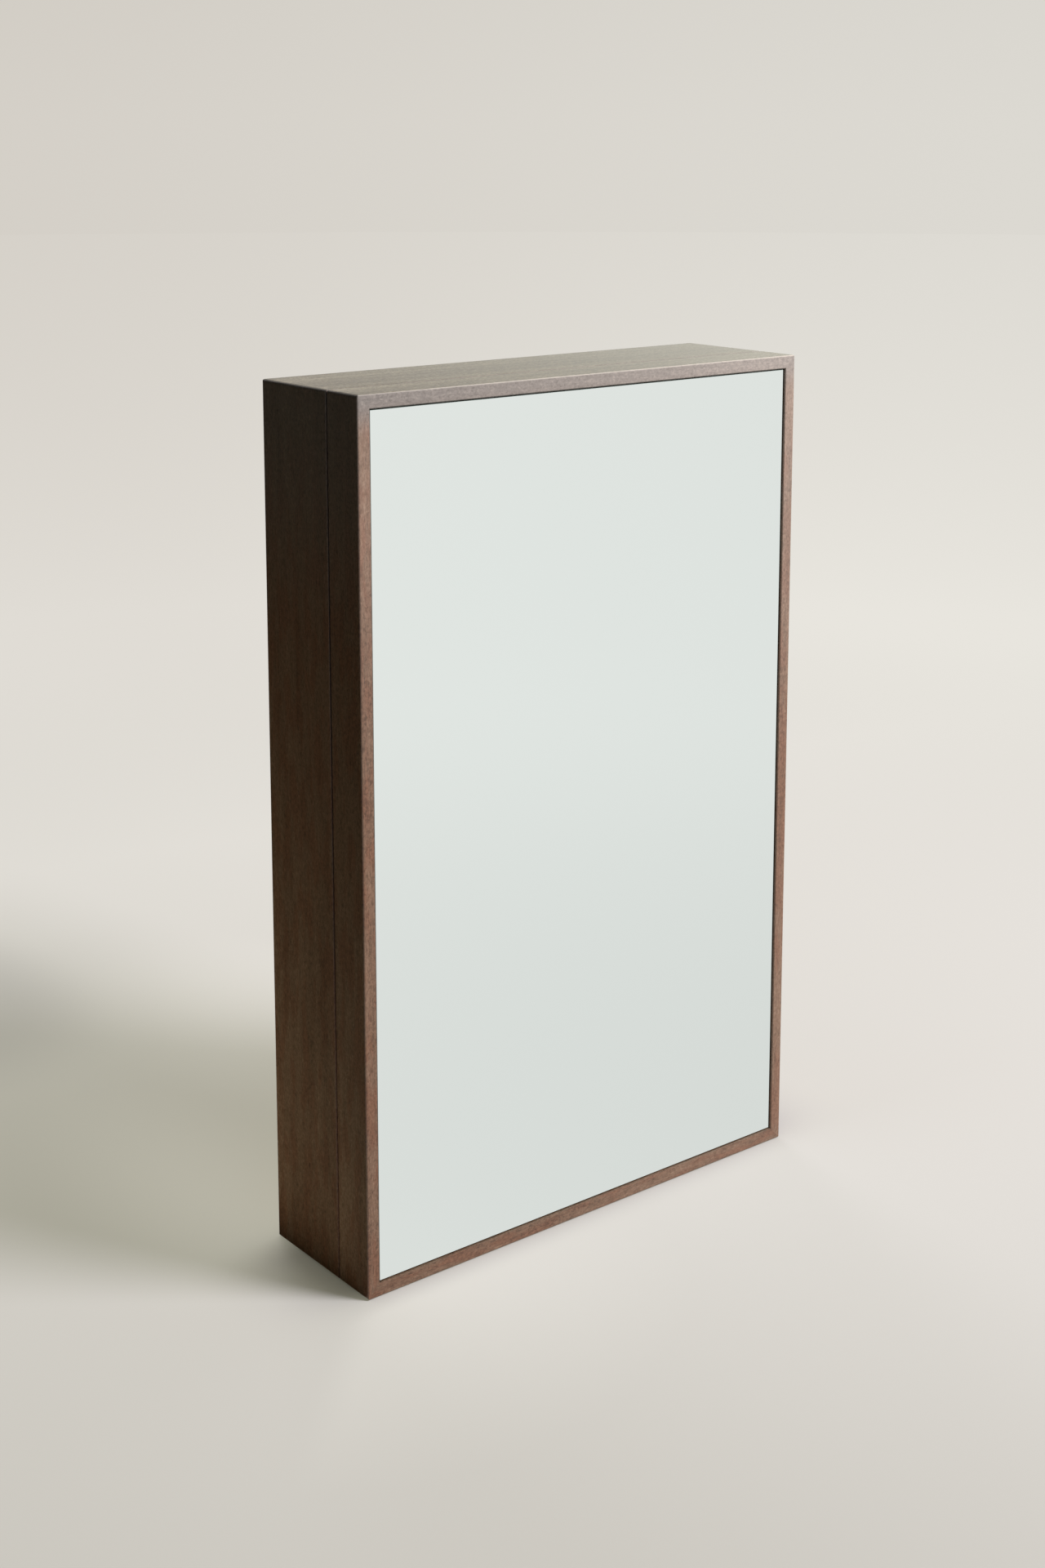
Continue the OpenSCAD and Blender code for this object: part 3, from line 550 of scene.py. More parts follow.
def birch_plywood(name, offset, upright=False):
    """Sanded birch plywood: long pale fibres on the faces, and stripes of plies on the edges."""
    material, place = new_material(name)
    sheet = mapped(place, Location=offset)
    figure_scale, fibre_scale = (4, 18, 30), (60, 900, 1100)
    if upright:
        figure_scale, fibre_scale = figure_scale[::-1], fibre_scale[::-1]
    figure = noisy(sheet, figure_scale, detail=3, distortion=0.5)
    fibre = noisy(sheet, fibre_scale)
    face = color_ramp(figure * 0.6 + fibre * 0.4, BIRCH_TONES)
    depth = split(sheet)[1]
    stripe = eased(compute("SINE", depth * (math.tau / PLY_PITCH)), 0.1, 0.9)
    on_edge = abs(facing(place)[1]) < 0.5
    color = mix(on_edge, face, mix(stripe, face, BIRCH_GLUE))
    rough = fibre * 0.2 + on_edge * 0.15 + 0.5
    return principled(material, color, bump=(fibre, 0.3, 0.0001), Roughness=rough)


finish_node("case_corner_splines", birch_plywood, (0.3, 0, 0))


# Back panel: a sheet of birch plywood let into a groove round the case, 9 mm in front of the
# wall, which holds the case square.
finish_node("back_panel", birch_plywood, (0, 0, 0), upright=True)


# Back lining: pale linen pulled over thin board and glued on the front of the back panel, so it
# is the wall that the jewelry hangs against.
LINEN_THREAD = 0.0008
LINEN_TONES = [(0.3, 194, 184, 164), (0.78, 222, 214, 197)]


def linen(name):
    """Plain-woven linen with uneven threads, both ways across the door and the back."""
    material, place = new_material(name)
    warp_slubs = noisy(place, (1.0 / LINEN_THREAD, 40, 30), detail=0)
    weft_slubs = noisy(place, (30, 40, 1.0 / LINEN_THREAD), detail=0)
    x, _, z = split(place)
    turn = math.pi / LINEN_THREAD
    over = straight(compute("SINE", x * turn) * compute("SINE", z * turn), -1, 1)
    cloth = over * 0.4 + warp_slubs * 0.34 + weft_slubs * 0.34
    bump = (over * 0.7 + warp_slubs * 0.5 + weft_slubs * 0.5, 0.7, 0.0002)
    nap = {"Specular_IOR_Level": 0.25, "Sheen_Weight": 0.25, "Sheen_Roughness": 0.5}
    return principled(material, color_ramp(cloth, LINEN_TONES), bump, Roughness=0.88, **nap)


def link_piece(name, mesh, smooth_below=40):
    """A mesh as a piece of the scene, smooth but for its sharp edges."""
    mesh.shade_smooth()
    mesh.set_sharp_from_angle(angle=math.radians(smooth_below))
    return new_object(name, mesh)


def soft_slab(name, low, high, rounding, step, waviness):
    """A flat sheet of cloth or felt between two corners, its edges rounded over and its broad faces
    a little uneven."""
    low, high = Vector(low), Vector(high)
    slab = bmesh.new()
    bmesh.ops.create_cube(slab, size=1)
    for vertex in slab.verts:
        vertex.co = [l + (h - l) * (c + 0.5) for l, h, c in zip(low, high, vertex.co)]
    bmesh.ops.bevel(
        slab, geom=slab.edges[:], offset=rounding, segments=3, profile=0.5, affect="EDGES"
    )
    thin = min(range(3), key=lambda axis: high[axis] - low[axis])
    for axis in {0, 1, 2} - {thin}:
        cuts = max(2, round((high[axis] - low[axis]) / step))
        normal = Vector([float(i == axis) for i in range(3)])
        for cut in range(1, cuts):
            at = low.copy()
            at[axis] += (high[axis] - low[axis]) * cut / cuts
            geometry = slab.verts[:] + slab.edges[:] + slab.faces[:]
            bmesh.ops.bisect_plane(slab, geom=geometry, plane_co=at, plane_no=normal)
    middle = (low[thin] + high[thin]) / 2
    for vertex in slab.verts:
        side = 1 if vertex.co[thin] > middle else -1
        vertex.co[thin] -= side * waviness * (0.5 + 0.5 * noise.noise(vertex.co * 45))
    return link_piece(name, mesh_from(name, slab), smooth_below=60)


def place_piece(piece, body, node):
    """Fixes a piece to a body of the cabinet, and hides the CAD node it stands for."""
    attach(piece, body)
    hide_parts(node)


def lay_sheet(piece, body, node, material):
    """Gives a sheet of cloth or felt its material, fixes it to a body and hides its CAD node."""
    piece.data.materials.append(material)
    place_piece(piece, body, node)


back_linen = soft_slab("linen_on_back", *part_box("back_lining"), 0.0007, 0.02, 0.00012)
lay_sheet(
    back_linen, "case", "back_lining", linen("linen_back")
)


# Cleat and batten: two strips of birch plywood behind the back panel, flush with the rear edges.
# The upper one carries the hangers, and the lower one keeps the cabinet plumb on the wall.
finish_node("hanging_cleat", birch_plywood, (0.7, 0.0004, 0.2))
finish_node("lower_batten", birch_plywood, (1.6, 0.0002, 0.5))


# Keyhole hangers: two plates of zinc-plated steel sunk flush into the cleat, each with a round
# entry for a screw head and a narrow neck above it.
ZINC_TONES = [(0.2, 150, 153, 158), (0.8, 196, 198, 200)]


def zinc_steel(name):
    """Zinc plate with a faint spangle and fine scratches."""
    material, place = new_material(name)
    inputs = {"Vector": place, "Scale": 420.0, "Randomness": 1.0}
    spangle = output(place.tree, "ShaderNodeTexVoronoi", inputs, "Color")
    grey = output(place.tree, "ShaderNodeSeparateColor", [spangle])
    scratches = noisy(place, (2400, 2400, 90))
    color = color_ramp(grey * 0.5 + scratches * 0.5, ZINC_TONES)
    rough = grey * 0.12 + scratches * 0.15 + 0.22
    bump = (scratches, 0.15, 0.00005)
    return principled(material, color, bump, Roughness=rough, Metallic=1.0)


finish_node("keyhole_hangers", zinc_steel)


# Hanger screws: four countersunk steel screws, two through each hanger into the cleat, their
# cross recesses left at whatever angle they tightened to.
def new_tree(name, **kinds):
    """A Geometry Nodes tree with a geometry in and out and named inputs of each kind, and the wires
    that come in."""
    tree = bpy.data.node_groups.new(name, "GeometryNodeTree")
    tree.interface.new_socket("Geometry", in_out="OUTPUT", socket_type="NodeSocketGeometry")
    for kind, labels in {"Geometry": ["Geometry"], **kinds}.items():
        for label in labels:
            tree.interface.new_socket(label, in_out="INPUT", socket_type="NodeSocket" + kind)
    sockets = tree.nodes.new("NodeGroupInput").outputs
    return tree, {socket.name: Wire(tree, socket) for socket in sockets if socket.name}


def end_tree(geometry, material):
    """Makes the tree's instances real, gives them their material and hands them out."""
    real = output(geometry.tree, "GeometryNodeRealizeInstances", [geometry])
    inputs = {"Geometry": real, "Material": material}
    coated = output(geometry.tree, "GeometryNodeSetMaterial", inputs)
    add_node(geometry.tree, "NodeGroupOutput", [coated])
    return geometry.tree


def applied(piece):
    graph = bpy.context.evaluated_depsgraph_get()
    return bpy.data.meshes.new_from_object(piece.evaluated_get(graph), depsgraph=graph)


def grow(name, tree, base, **sizes):
    """Runs a tree on a base mesh with these sizes, and returns the result as a plain piece."""
    holder = new_object(name + "_base", base)
    modifier = holder.modifiers.new(name, "NODES")
    modifier.node_group = tree
    for socket in tree.interface.items_tree:
        size = socket.name.replace(" ", "_")
        if socket.in_out == "INPUT" and size in sizes:
            value = sizes[size]
            is_vector = socket.socket_type == "NodeSocketVector"
            modifier[socket.identifier] = [float(v) for v in value] if is_vector else value
    mesh = applied(holder)
    bpy.data.objects.remove(holder)
    return link_piece(name, mesh)


def vector_node(tree, x=0.0, y=0.0, z=0.0):
    return output(tree, "ShaderNodeCombineXYZ", [x, y, z])


def moved(geometry, offset=(0, 0, 0), turn=(0, 0, 0)):
    """A geometry turned, then moved by an offset."""
    inputs = {"Geometry": geometry, "Translation": offset, "Rotation": turn}
    return output(geometry.tree, "GeometryNodeTransform", inputs)


def lifted(geometry, rise):
    return moved(geometry, vector_node(geometry.tree, z=rise))


def joined(*parts):
    tree = parts[0].tree
    whole = tree.nodes.new("GeometryNodeJoinGeometry")
    for part in parts:
        tree.links.new(part.socket, whole.inputs[0])
    return Wire(tree, whole.outputs[0])


def cone(tree, top, bottom, height, sides=24):
    """A closed cone or cylinder that stands on the origin."""
    inputs = {"Vertices": sides, "Radius Top": top, "Radius Bottom": bottom, "Depth": height}
    return output(tree, "GeometryNodeMeshCone", inputs, "Mesh")


def swept(path, sides, radius):
    inputs = {"Resolution": sides, "Radius": radius}
    section = output(path.tree, "GeometryNodeCurvePrimitiveCircle", inputs)
    inputs = {"Curve": path, "Profile Curve": section, "Fill Caps": True}
    return output(path.tree, "GeometryNodeCurveToMesh", inputs)


def row_of_points(tree, count, start, step):
    inputs = {"Count": count, "Start Location": start, "Offset": step}
    return output(tree, "GeometryNodeMeshLine", inputs, mode="OFFSET")


def placed(points, form, turn=(0, 0, 0)):
    inputs = {"Points": points, "Instance": form, "Rotation": turn}
    return output(points.tree, "GeometryNodeInstanceOnPoints", inputs)


POINT = 0.0001


def countersunk_screws():
    """Tree: cross-recess screws in rows, their heads flush at the points, each turned its own way."""
    tree, size = new_tree(
        "countersunk_screws",
        Vector=("Start", "Step", "Row Step", "Heading"),
        Int=("Count", "Row Count", "Seed"),
        Float=("Head Radius", "Head Height", "Shank Radius", "Length", "Recess"),
        Material=("Metal",),
    )
    head_height, shank, recess = size["Head Height"], size["Shank Radius"], size["Recess"]
    head = lifted(cone(tree, size["Head Radius"], shank, head_height), head_height * -1)
    bar_size = vector_node(tree, shank * 2, recess, recess * 2)
    bar = output(tree, "GeometryNodeMeshCube", {"Size": bar_size})
    pit_depth = recess * 1.5
    pit = lifted(cone(tree, recess, POINT, pit_depth, 8), pit_depth * -0.99)
    settings = {"operation": "DIFFERENCE", "solver": "EXACT"}
    cut = add_node(tree, "GeometryNodeMeshBoolean", {"Mesh 1": head}, **settings)
    for cutter in (bar, moved(bar, turn=(0, 0, math.pi / 2)), pit):
        tree.links.new(cutter.socket, cut.inputs["Mesh 2"])
    tip, core, ridge = shank * 2, shank * 0.8, shank * 0.2
    low = size["Length"] - tip
    threaded = low - head_height
    body = lifted(cone(tree, core, core, threaded, 16), low * -1)
    drill = lifted(cone(tree, core, POINT, tip, 16), size["Length"] * -1)
    crest = shank - ridge
    inputs = {"Resolution": 14, "Rotations": threaded / core, "Height": threaded}
    inputs.update({"Start Radius": crest, "End Radius": crest})
    coil = lifted(output(tree, "GeometryNodeCurveSpiral", inputs), low * -1)
    screw = joined(Wire(tree, cut.outputs[0]), body, drill, swept(coil, 4, ridge))
    row = row_of_points(tree, size["Count"], (0, 0, 0), size["Step"])
    rows = row_of_points(tree, size["Row Count"], size["Start"], size["Row Step"])
    seats = output(tree, "GeometryNodeRealizeInstances", [placed(rows, row)])
    driven = placed(seats, screw, size["Heading"])
    inputs = {3: math.tau, "Seed": size["Seed"]}
    spin = output(tree, "FunctionNodeRandomValue", inputs, 1, data_type="FLOAT")
    inputs = {"Instances": driven, "Rotation": vector_node(tree, z=spin)}
    return end_tree(output(tree, "GeometryNodeRotateInstances", inputs), size["Metal"])


SCREWS = {
    "Head_Radius": 0.0021,
    "Head_Height": 0.0009,
    "Shank_Radius": 0.0012,
    "Recess": 0.0005,
    "Count": 2,
    "Row_Count": 2,
}
HANGER_PITCH = 0.3
HANGER_SCREW_PITCH = 0.034
HANGER_SCREW_LOW = 0.5455
screw_tree = countersunk_screws()
no_mesh = bpy.data.meshes.new("nothing")
hanger_screws = grow(
    "hanger_screws_zinc",
    screw_tree,
    no_mesh,
    Start=(-HANGER_PITCH / 2, cad_box[1].y, HANGER_SCREW_LOW),
    Step=(0, 0, HANGER_SCREW_PITCH),
    Row_Step=(HANGER_PITCH, 0, 0),
    Heading=(-math.pi / 2, 0, 0),
    Length=0.007,
    Seed=4,
    Metal=zinc_steel("zinc_screws"),
    **SCREWS,
)
place_piece(hanger_screws, "case", "hanger_screws")


# Hook rail: a strip of walnut glued under the top board against the lining, bored for the hooks
# and left in the darker inner tones, without the painted sheen and shade of the outer faces.
finish_node("hook_rail", walnut, "X", (0.4, -0.13, -0.45), "inner")


# Necklace hooks: nine hooks of brass wire on turned roses, screwed into the rail, each bent up
# and ended in a small ball so that a chain can't slip off.
BRASS_TONES = [(0.3, 150, 119, 70), (0.7, 203, 172, 118)]


def brass(name, brushing=(90, 2200, 2200)):
    """Lacquered brass, finely brushed along one axis and a little cloudy."""
    material, place = new_material(name)
    brushed = noisy(place, brushing, detail=3)
    cloud = noisy(place, (110, 110, 110))
    color = color_ramp(brushed * 0.6 + cloud * 0.4, BRASS_TONES)
    rough = brushed * 0.16 + cloud * 0.14 + 0.14
    lacquer = {"Coat_Weight": 0.3, "Coat_Roughness": 0.12}
    bump = (brushed, 0.12, 0.00005)
    return principled(material, color, bump, Roughness=rough, Metallic=1.0, **lacquer)


def wire_hooks():
    """Tree: a bent wire with a rose at its foot and a ball on its end, repeated along a row. The
    base mesh is the wire's path before its bend is rounded."""
    tree, size = new_tree(
        "wire_hooks",
        Vector=("Start", "Step", "Ball Place"),
        Int=("Count",),
        Float=("Bend", "Wire Radius", "Ball Radius", "Rose Radius", "Rose Thickness")
        + ("Thread Radius", "Thread Length"),
        Material=("Metal",),
    )
    path = output(tree, "GeometryNodeMeshToCurve", [size["Geometry"]])
    inputs = {"Curve": path, "Radius": size["Bend"], "Count": 10}
    bent = output(tree, "GeometryNodeFilletCurve", inputs, mode="POLY")
    wire = swept(bent, 16, size["Wire Radius"])
    inputs = {"Segments": 20, "Rings": 12, "Radius": size["Ball Radius"]}
    ball = moved(output(tree, "GeometryNodeMeshUVSphere", inputs), size["Ball Place"])
    rim, thick = size["Rose Radius"], size["Rose Thickness"]
    plate = cone(tree, rim, rim, thick * 0.45, 32)
    crown = lifted(cone(tree, rim * 0.62, rim, thick * 0.55, 32), thick * 0.45)
    rose = moved(joined(plate, crown), turn=(math.pi / 2, 0, 0))
    thread_radius = size["Thread Radius"]
    thread = cone(tree, thread_radius, thread_radius, size["Thread Length"], 12)
    thread = moved(thread, turn=(-math.pi / 2, 0, 0))
    row = row_of_points(tree, size["Count"], size["Start"], size["Step"])
    return end_tree(placed(row, joined(wire, ball, rose, thread)), size["Metal"])


HOOK_REACH = 0.009
HOOK_BEND = 0.003
HOOK_TIP = 0.004
HOOK_PITCH = 0.036
HOOK_COUNT = 9
wire_path = bpy.data.meshes.new("wire_path")
wire_end = -HOOK_REACH - HOOK_BEND
wire_top = (0, wire_end, HOOK_BEND + HOOK_TIP)
wire_path.from_pydata([(0, 0, 0), (0, wire_end, 0), wire_top], [(0, 1), (1, 2)], [])
hooks = grow(
    "brass_hooks",
    wire_hooks(),
    wire_path,
    Start=(-(HOOK_COUNT // 2) * HOOK_PITCH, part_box("hook_rail")[0].y, box_middle("hook_rail").z),
    Step=(HOOK_PITCH, 0, 0),
    Count=HOOK_COUNT,
    Bend=HOOK_BEND,
    Wire_Radius=0.0011,
    Rose_Radius=0.0032,
    Rose_Thickness=0.0012,
    Ball_Radius=0.0017,
    Ball_Place=wire_top,
    Thread_Radius=0.0009,
    Thread_Length=0.008,
    Metal=brass("brass_hooks", (1800, 1800, 1800)),
)
place_piece(hooks, "case", "necklace_hooks")


# Shelves: two shelves of walnut in dadoes in the sides, a divider between them, and a small
# shelf beside the ring tray, all 4 mm behind the front edge of the case.
finish_node("upper_shelf", walnut, "X", (0.9, 0.21, -0.12), "inner")
finish_node("lower_shelf", walnut, "X", (1.7, -0.16, -0.07), "inner")
finish_node("middle_divider", walnut, "Z", (2.3, 0.18, 0.12), "inner")
finish_node("cubby_shelf", walnut, "X", (2.9, 0.15, -0.05), "inner")


# Brass rods: a gallery rod over the upper shelf and a bracelet rod under the lower one, each 4 mm
# thick, let into both sides and ringed by a turned rose.
finish_node("gallery_rod", brass)
finish_node("bracelet_rod", brass)


def loft(rings):
    """A closed solid through rings of points, its ends flat."""
    work = bmesh.new()
    rings = [[work.verts.new(point) for point in ring] for ring in rings]
    for first, second in zip(rings, rings[1:]):
        for side in range(len(first)):
            beside = (side + 1) % len(first)
            work.faces.new((first[side], first[beside], second[beside], second[side]))
    work.faces.new(rings[0][::-1])
    work.faces.new(rings[-1])
    return work


def turned(name, profile, sides=36):
    """A turned solid about Z from (radius, height) pairs, from its lower rim to its upper one."""
    angles = [math.tau * side / sides for side in range(sides)]
    rings = [[(r * math.cos(a), r * math.sin(a), height) for a in angles] for r, height in profile]
    return mesh_from(name, loft(rings))


def facing_pairs():
    """Tree: the base mesh set along a row at both sides of the cabinet, its foot on each side's
    inner face and its crown inwards."""
    tree, size = new_tree(
        "facing_pairs", Vector=("Start", "Step"), Int=("Count",), Float=("Reach",), Material=("Metal",)
    )
    row = row_of_points(tree, size["Count"], size["Start"], size["Step"])
    pair = []
    for side in (-1, 1):
        points = moved(row, vector_node(tree, size["Reach"] * side))
        pair.append(placed(points, size["Geometry"], (0, -side * math.pi / 2, 0)))
    return end_tree(joined(*pair), size["Metal"])


ROSE_WIDTH = 0.0024
ROSE_THICK = 0.0014
ROSE_STEPS = [(1, 0), (1, 0.36), (0.93, 0.46), (0.82, 0.5), (0.76, 0.62), (0.62, 0.84)]
ROSE_STEPS += [(0.4, 0.96), (0.12, 1)]
CASE_ROD_RADIUS = 0.002
inner_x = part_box("hook_rail")[1].x
pair_tree = facing_pairs()


def turned_rose(name, rod_radius):
    """A rose around a rod's end: a flat foot, a small step, and a rounded crown down to the rod."""
    profile = [(rod_radius + ROSE_WIDTH * out, ROSE_THICK * up) for out, up in ROSE_STEPS]
    return turned(name, profile)


gallery, bracelet = box_middle("gallery_rod"), box_middle("bracelet_rod")
case_roses = grow(
    "turned_roses_case",
    pair_tree,
    turned_rose("case_rose", CASE_ROD_RADIUS),
    Start=bracelet,
    Step=gallery - bracelet,
    Count=2,
    Reach=inner_x,
    Metal=brass("brass_case_roses"),
)
place_piece(case_roses, "case", "case_rod_roses")


# Ring tray: an open box of walnut strips that stands on the lower shelf, left of the divider,
# and holds the rolls in by their ends.
finish_node("ring_tray", walnut, "X", (3.4, -0.14, -0.19), "inner")


# Ring rolls: six rolls of foam in pale velvet that fill the tray, so that a ring's band is held in
# the crease between two of them. The velvet is gathered in at both ends.
VELVET_TONES = [(0.34, 183, 172, 155), (0.66, 214, 205, 190)]
ROLL_COUNT = 6
ROLL_START = 0.0077
ROLL_SHORTER = 0.0012
ROLL_SWELL = 0.0007
ROLL_VOXEL = 0.0016
ROLL_PRESSURE = 4.0
ROLL_GATHERS = 14
ROLL_LUMPS = 0.02


def velvet(name, offset):
    """Short-pile velvet: brushed patches, fine pile, and a bright sheen at a grazing look."""
    material, place = new_material(name)
    place = mapped(place, Location=offset)
    brushed = noisy(place, (55, 120, 120), detail=3, distortion=0.8)
    pile = noisy(place, (2600, 2600, 2600), detail=1)
    color = color_ramp(brushed * 0.65 + pile * 0.35, VELVET_TONES)
    nap = {"Specular_IOR_Level": 0.2, "Sheen_Weight": 0.7, "Sheen_Roughness": 0.35}
    return principled(material, color, (pile, 0.5, 0.0002), Roughness=0.95, **nap)


def roll_form(length, radius, phase, sides=48, stations=61):
    """A closed roll along X, its ends domed and pleated where the velvet is gathered in."""
    rings = []
    for station in range(stations):
        along = station / (stations - 1)
        from_end = min(along, 1 - along) * length
        dome = min(1.0, from_end / (radius * 0.8))
        width = radius * math.sin(math.pi / 2 * (0.12 + 0.88 * dome))
        pleat = 0.05 * (1 - dome)
        ring = []
        for side in range(sides):
            angle = math.tau * side / sides
            reach = width * (1 + pleat * math.cos(ROLL_GATHERS * angle + phase))
            ring.append(((along - 0.5) * length, reach * math.cos(angle), reach * math.sin(angle)))
        rings.append(ring)
    return loft(rings)


def swell(piece, voxel, pressure, cap):
    """Fills a closed piece with Cloth under pressure, and lets no point move further than a cap."""
    remesh = piece.modifiers.new("remesh", "REMESH")
    remesh.mode = "VOXEL"
    remesh.voxel_size = voxel
    start = applied(piece)
    piece.modifiers.clear()
    piece.data = start
    before = [vertex.co.copy() for vertex in start.vertices]
    cloth = piece.modifiers.new("cloth", "CLOTH")
    cloth.settings.use_pressure = True
    cloth.settings.uniform_pressure_force = pressure
    cloth.settings.effector_weights.gravity = 0
    for step in range(1, 21):
        scene.frame_set(step)
    filled = applied(piece)
    piece.modifiers.clear()
    scene.frame_set(1)
    for vertex, place in zip(filled.vertices, before):
        move = vertex.co - place
        if move.length > cap:
            vertex.co = place + move * (cap / move.length)
    piece.data = filled


def smooth_once(piece):
    """Subdivides a piece once and keeps the result as its mesh."""
    rounder = piece.modifiers.new("round", "SUBSURF")
    rounder.levels = rounder.render_levels = 1
    piece.data = applied(piece)
    piece.modifiers.clear()


rolls_low, rolls_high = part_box("ring_rolls")
roll_length = rolls_high.x - rolls_low.x
roll_width = rolls_high.y - rolls_low.y
roll_pitch = (rolls_high.z - rolls_low.z - roll_width) / (ROLL_COUNT - 1)
middle = box_middle("ring_rolls")
for number in range(ROLL_COUNT):
    middle.z = rolls_low.z + roll_width / 2 + number * roll_pitch
    name = f"ring_roll_{number + 1}"
    form = roll_form(roll_length - ROLL_SHORTER, ROLL_START, number * 1.3)
    for vertex in form.verts:
        lump = noise.noise(Vector((vertex.co.x * 30, number * 5.1, 0)))
        vertex.co.y *= 1 + ROLL_LUMPS * lump
        vertex.co.z *= 1 + ROLL_LUMPS * lump
    bmesh.ops.translate(form, verts=form.verts, vec=middle)
    roll = link_piece(name, mesh_from(name, form))
    swell(roll, ROLL_VOXEL, ROLL_PRESSURE, ROLL_SWELL)
    smooth_once(roll)
    roll.data.shade_smooth()
    roll.data.materials.clear()
    roll.data.materials.append(velvet(f"velvet_roll_{number + 1}", (number * 0.31, 0, 0)))
    place_piece(roll, "case", "ring_rolls")


# Bins: two open bins under the lower shelf, with a lip of walnut in front and a divider glued
# between the lip and the lining.
finish_node("bin_front_lip", walnut, "X", (4.1, 0.12, -0.03), "inner")
finish_node("bin_divider", walnut, "Z", (4.6, 0.13, 0.11), "inner")


# Felt pads: 1.5 mm wool felt cut to fit, laid in the bins and on the shelves so that nothing
# rattles or scratches.
FELT_TONES = [(0.36, 160, 148, 128), (0.64, 206, 197, 180)]
PAD_GAP = 0.0004


def felt(name):
    """Pressed wool felt, its short fibres lying every way."""
    material, place = new_material(name)
    mottle = noisy(place, (180, 180, 180), detail=4, distortion=1.5)
    fibre = noisy(place, (1500, 1500, 1500), detail=3, distortion=2.5)
    color = color_ramp(mottle * 0.4 + fibre * 0.6, FELT_TONES)
    nap = {"Specular_IOR_Level": 0.2, "Sheen_Weight": 0.3, "Sheen_Roughness": 0.6}
    return principled(material, color, (fibre, 0.6, 0.0003), Roughness=0.95, **nap)


pads_low, pads_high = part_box("bin_pads")
pad_thick = pads_high.z - pads_low.z
shelf_low, shelf_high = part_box("shelf_pads")
left, right, front, rear = shelf_low.x, shelf_high.x, shelf_low.y, shelf_high.y
cubby_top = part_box("cubby_shelf")[1].z
bin_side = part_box("bin_divider")[1].x + PAD_GAP
divider_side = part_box("middle_divider")[1].x + PAD_GAP
PADS = {
    "felt_left_bin": ("bin_pads", "case_bottom", pads_low.x, -bin_side, pads_low.z),
    "felt_right_bin": ("bin_pads", "case_bottom", bin_side, pads_high.x, pads_low.z),
    "felt_lower_shelf": ("shelf_pads", "lower_shelf", divider_side, right, shelf_low.z),
    "felt_cubby_shelf": ("shelf_pads", "cubby_shelf", divider_side, right, cubby_top),
    "felt_upper_shelf": ("shelf_pads", "upper_shelf", left, right, shelf_high.z - pad_thick),
}
felt_material = felt("felt_pads")
for name, (node, carrier, from_x, to_x, rest_z) in PADS.items():
    low = (from_x, pads_low.y if node == "bin_pads" else front, rest_z)
    high = (to_x, rear, rest_z + pad_thick)
    pad = soft_slab(name, low, high, 0.0005, 0.02, 0.00012)
    lay_sheet(pad, "case", node, felt_material)


# Catch magnets: two nickel-plated discs pressed into the front edge of the left side, where they
# hold the door shut by the plates in its back.
NICKEL_TONES = [(0.3, 186, 184, 178), (0.7, 224, 222, 216)]


def nickel(name):
    """Bright nickel plate with faint round handling marks."""
    material, place = new_material(name)
    cloud = noisy(place, (350, 350, 350), detail=3, distortion=1.0)
    scratches = noisy(place, (900, 900, 4000))
    color = color_ramp(cloud * 0.6 + scratches * 0.4, NICKEL_TONES)
    rough = cloud * 0.2 + scratches * 0.12 + 0.08
    bump = (scratches, 0.1, 0.00003)
    return principled(material, color, bump, Roughness=rough, Metallic=1.0)


finish_node("catch_magnets", nickel)


# Door bumpers: two small domes of clear rubber, stuck to the front edge of the case, where they
# take the knock of the closing door.
RUBBER_TONES = [(0.3, 196, 196, 190), (0.7, 222, 222, 218)]
BUMPER_RADIUS = 0.003
BUMPER_SEAT = 0.0001
BUMPER_DOME = [(1.0, 0.0), (1.0, 0.25), (0.96, 0.5), (0.86, 0.72), (0.68, 0.88), (0.42, 0.97)]
BUMPER_DOME += [(0.15, 1.0)]


def clear_rubber(name):
    """Clear soft rubber, a little cloudy inside and unevenly dusty."""
    material, place = new_material(name)
    cloud = noisy(place, (500, 500, 500))
    color = color_ramp(cloud, RUBBER_TONES)
    rough = cloud * 0.3 + 0.12
    return principled(material, color, Roughness=rough, Transmission_Weight=0.9, IOR=1.43)


def in_a_row():
    """Tree: the base mesh, its crown towards the front, repeated along a row."""
    tree, size = new_tree(
        "in_a_row", Vector=("Start", "Step"), Int=("Count",), Material=("Finish",)
    )
    row = row_of_points(tree, size["Count"], size["Start"], size["Step"])
    return end_tree(placed(row, size["Geometry"], (math.pi / 2, 0, 0)), size["Finish"])


bumpers_low, bumpers_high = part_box("door_bumpers")
bumper_height = bumpers_high.y - bumpers_low.y
bumpers = grow(
    "rubber_bumpers",
    in_a_row(),
    turned("rubber_dome", [(BUMPER_RADIUS * out, bumper_height * up) for out, up in BUMPER_DOME]),
    Start=(
        box_middle("door_bumpers").x, bumpers_high.y + BUMPER_SEAT, bumpers_low.z + BUMPER_RADIUS
    ),
    Step=(0, 0, bumpers_high.z - bumpers_low.z - 2 * BUMPER_RADIUS),
    Count=2,
    Finish=clear_rubber("clear_bumpers"),
)
place_piece(bumpers, "case", "door_bumpers")


# Hinges: two butt hinges of brass on the right side, each with five knuckles on a pin. One leaf
# lies in the case's front edge and the other in the back of the door.
LEAF_BRUSHING = (2200, 2200, 90)
ROUND_BRUSHING = (1500, 1500, 1500)
for hinge in ("upper_hinge", "lower_hinge"):
    finish_node(f"{hinge}_case_leaf", brass, LEAF_BRUSHING)
    finish_node(f"{hinge}_door_leaf", brass, LEAF_BRUSHING)
    finish_node(f"{hinge}_pin", brass, ROUND_BRUSHING)


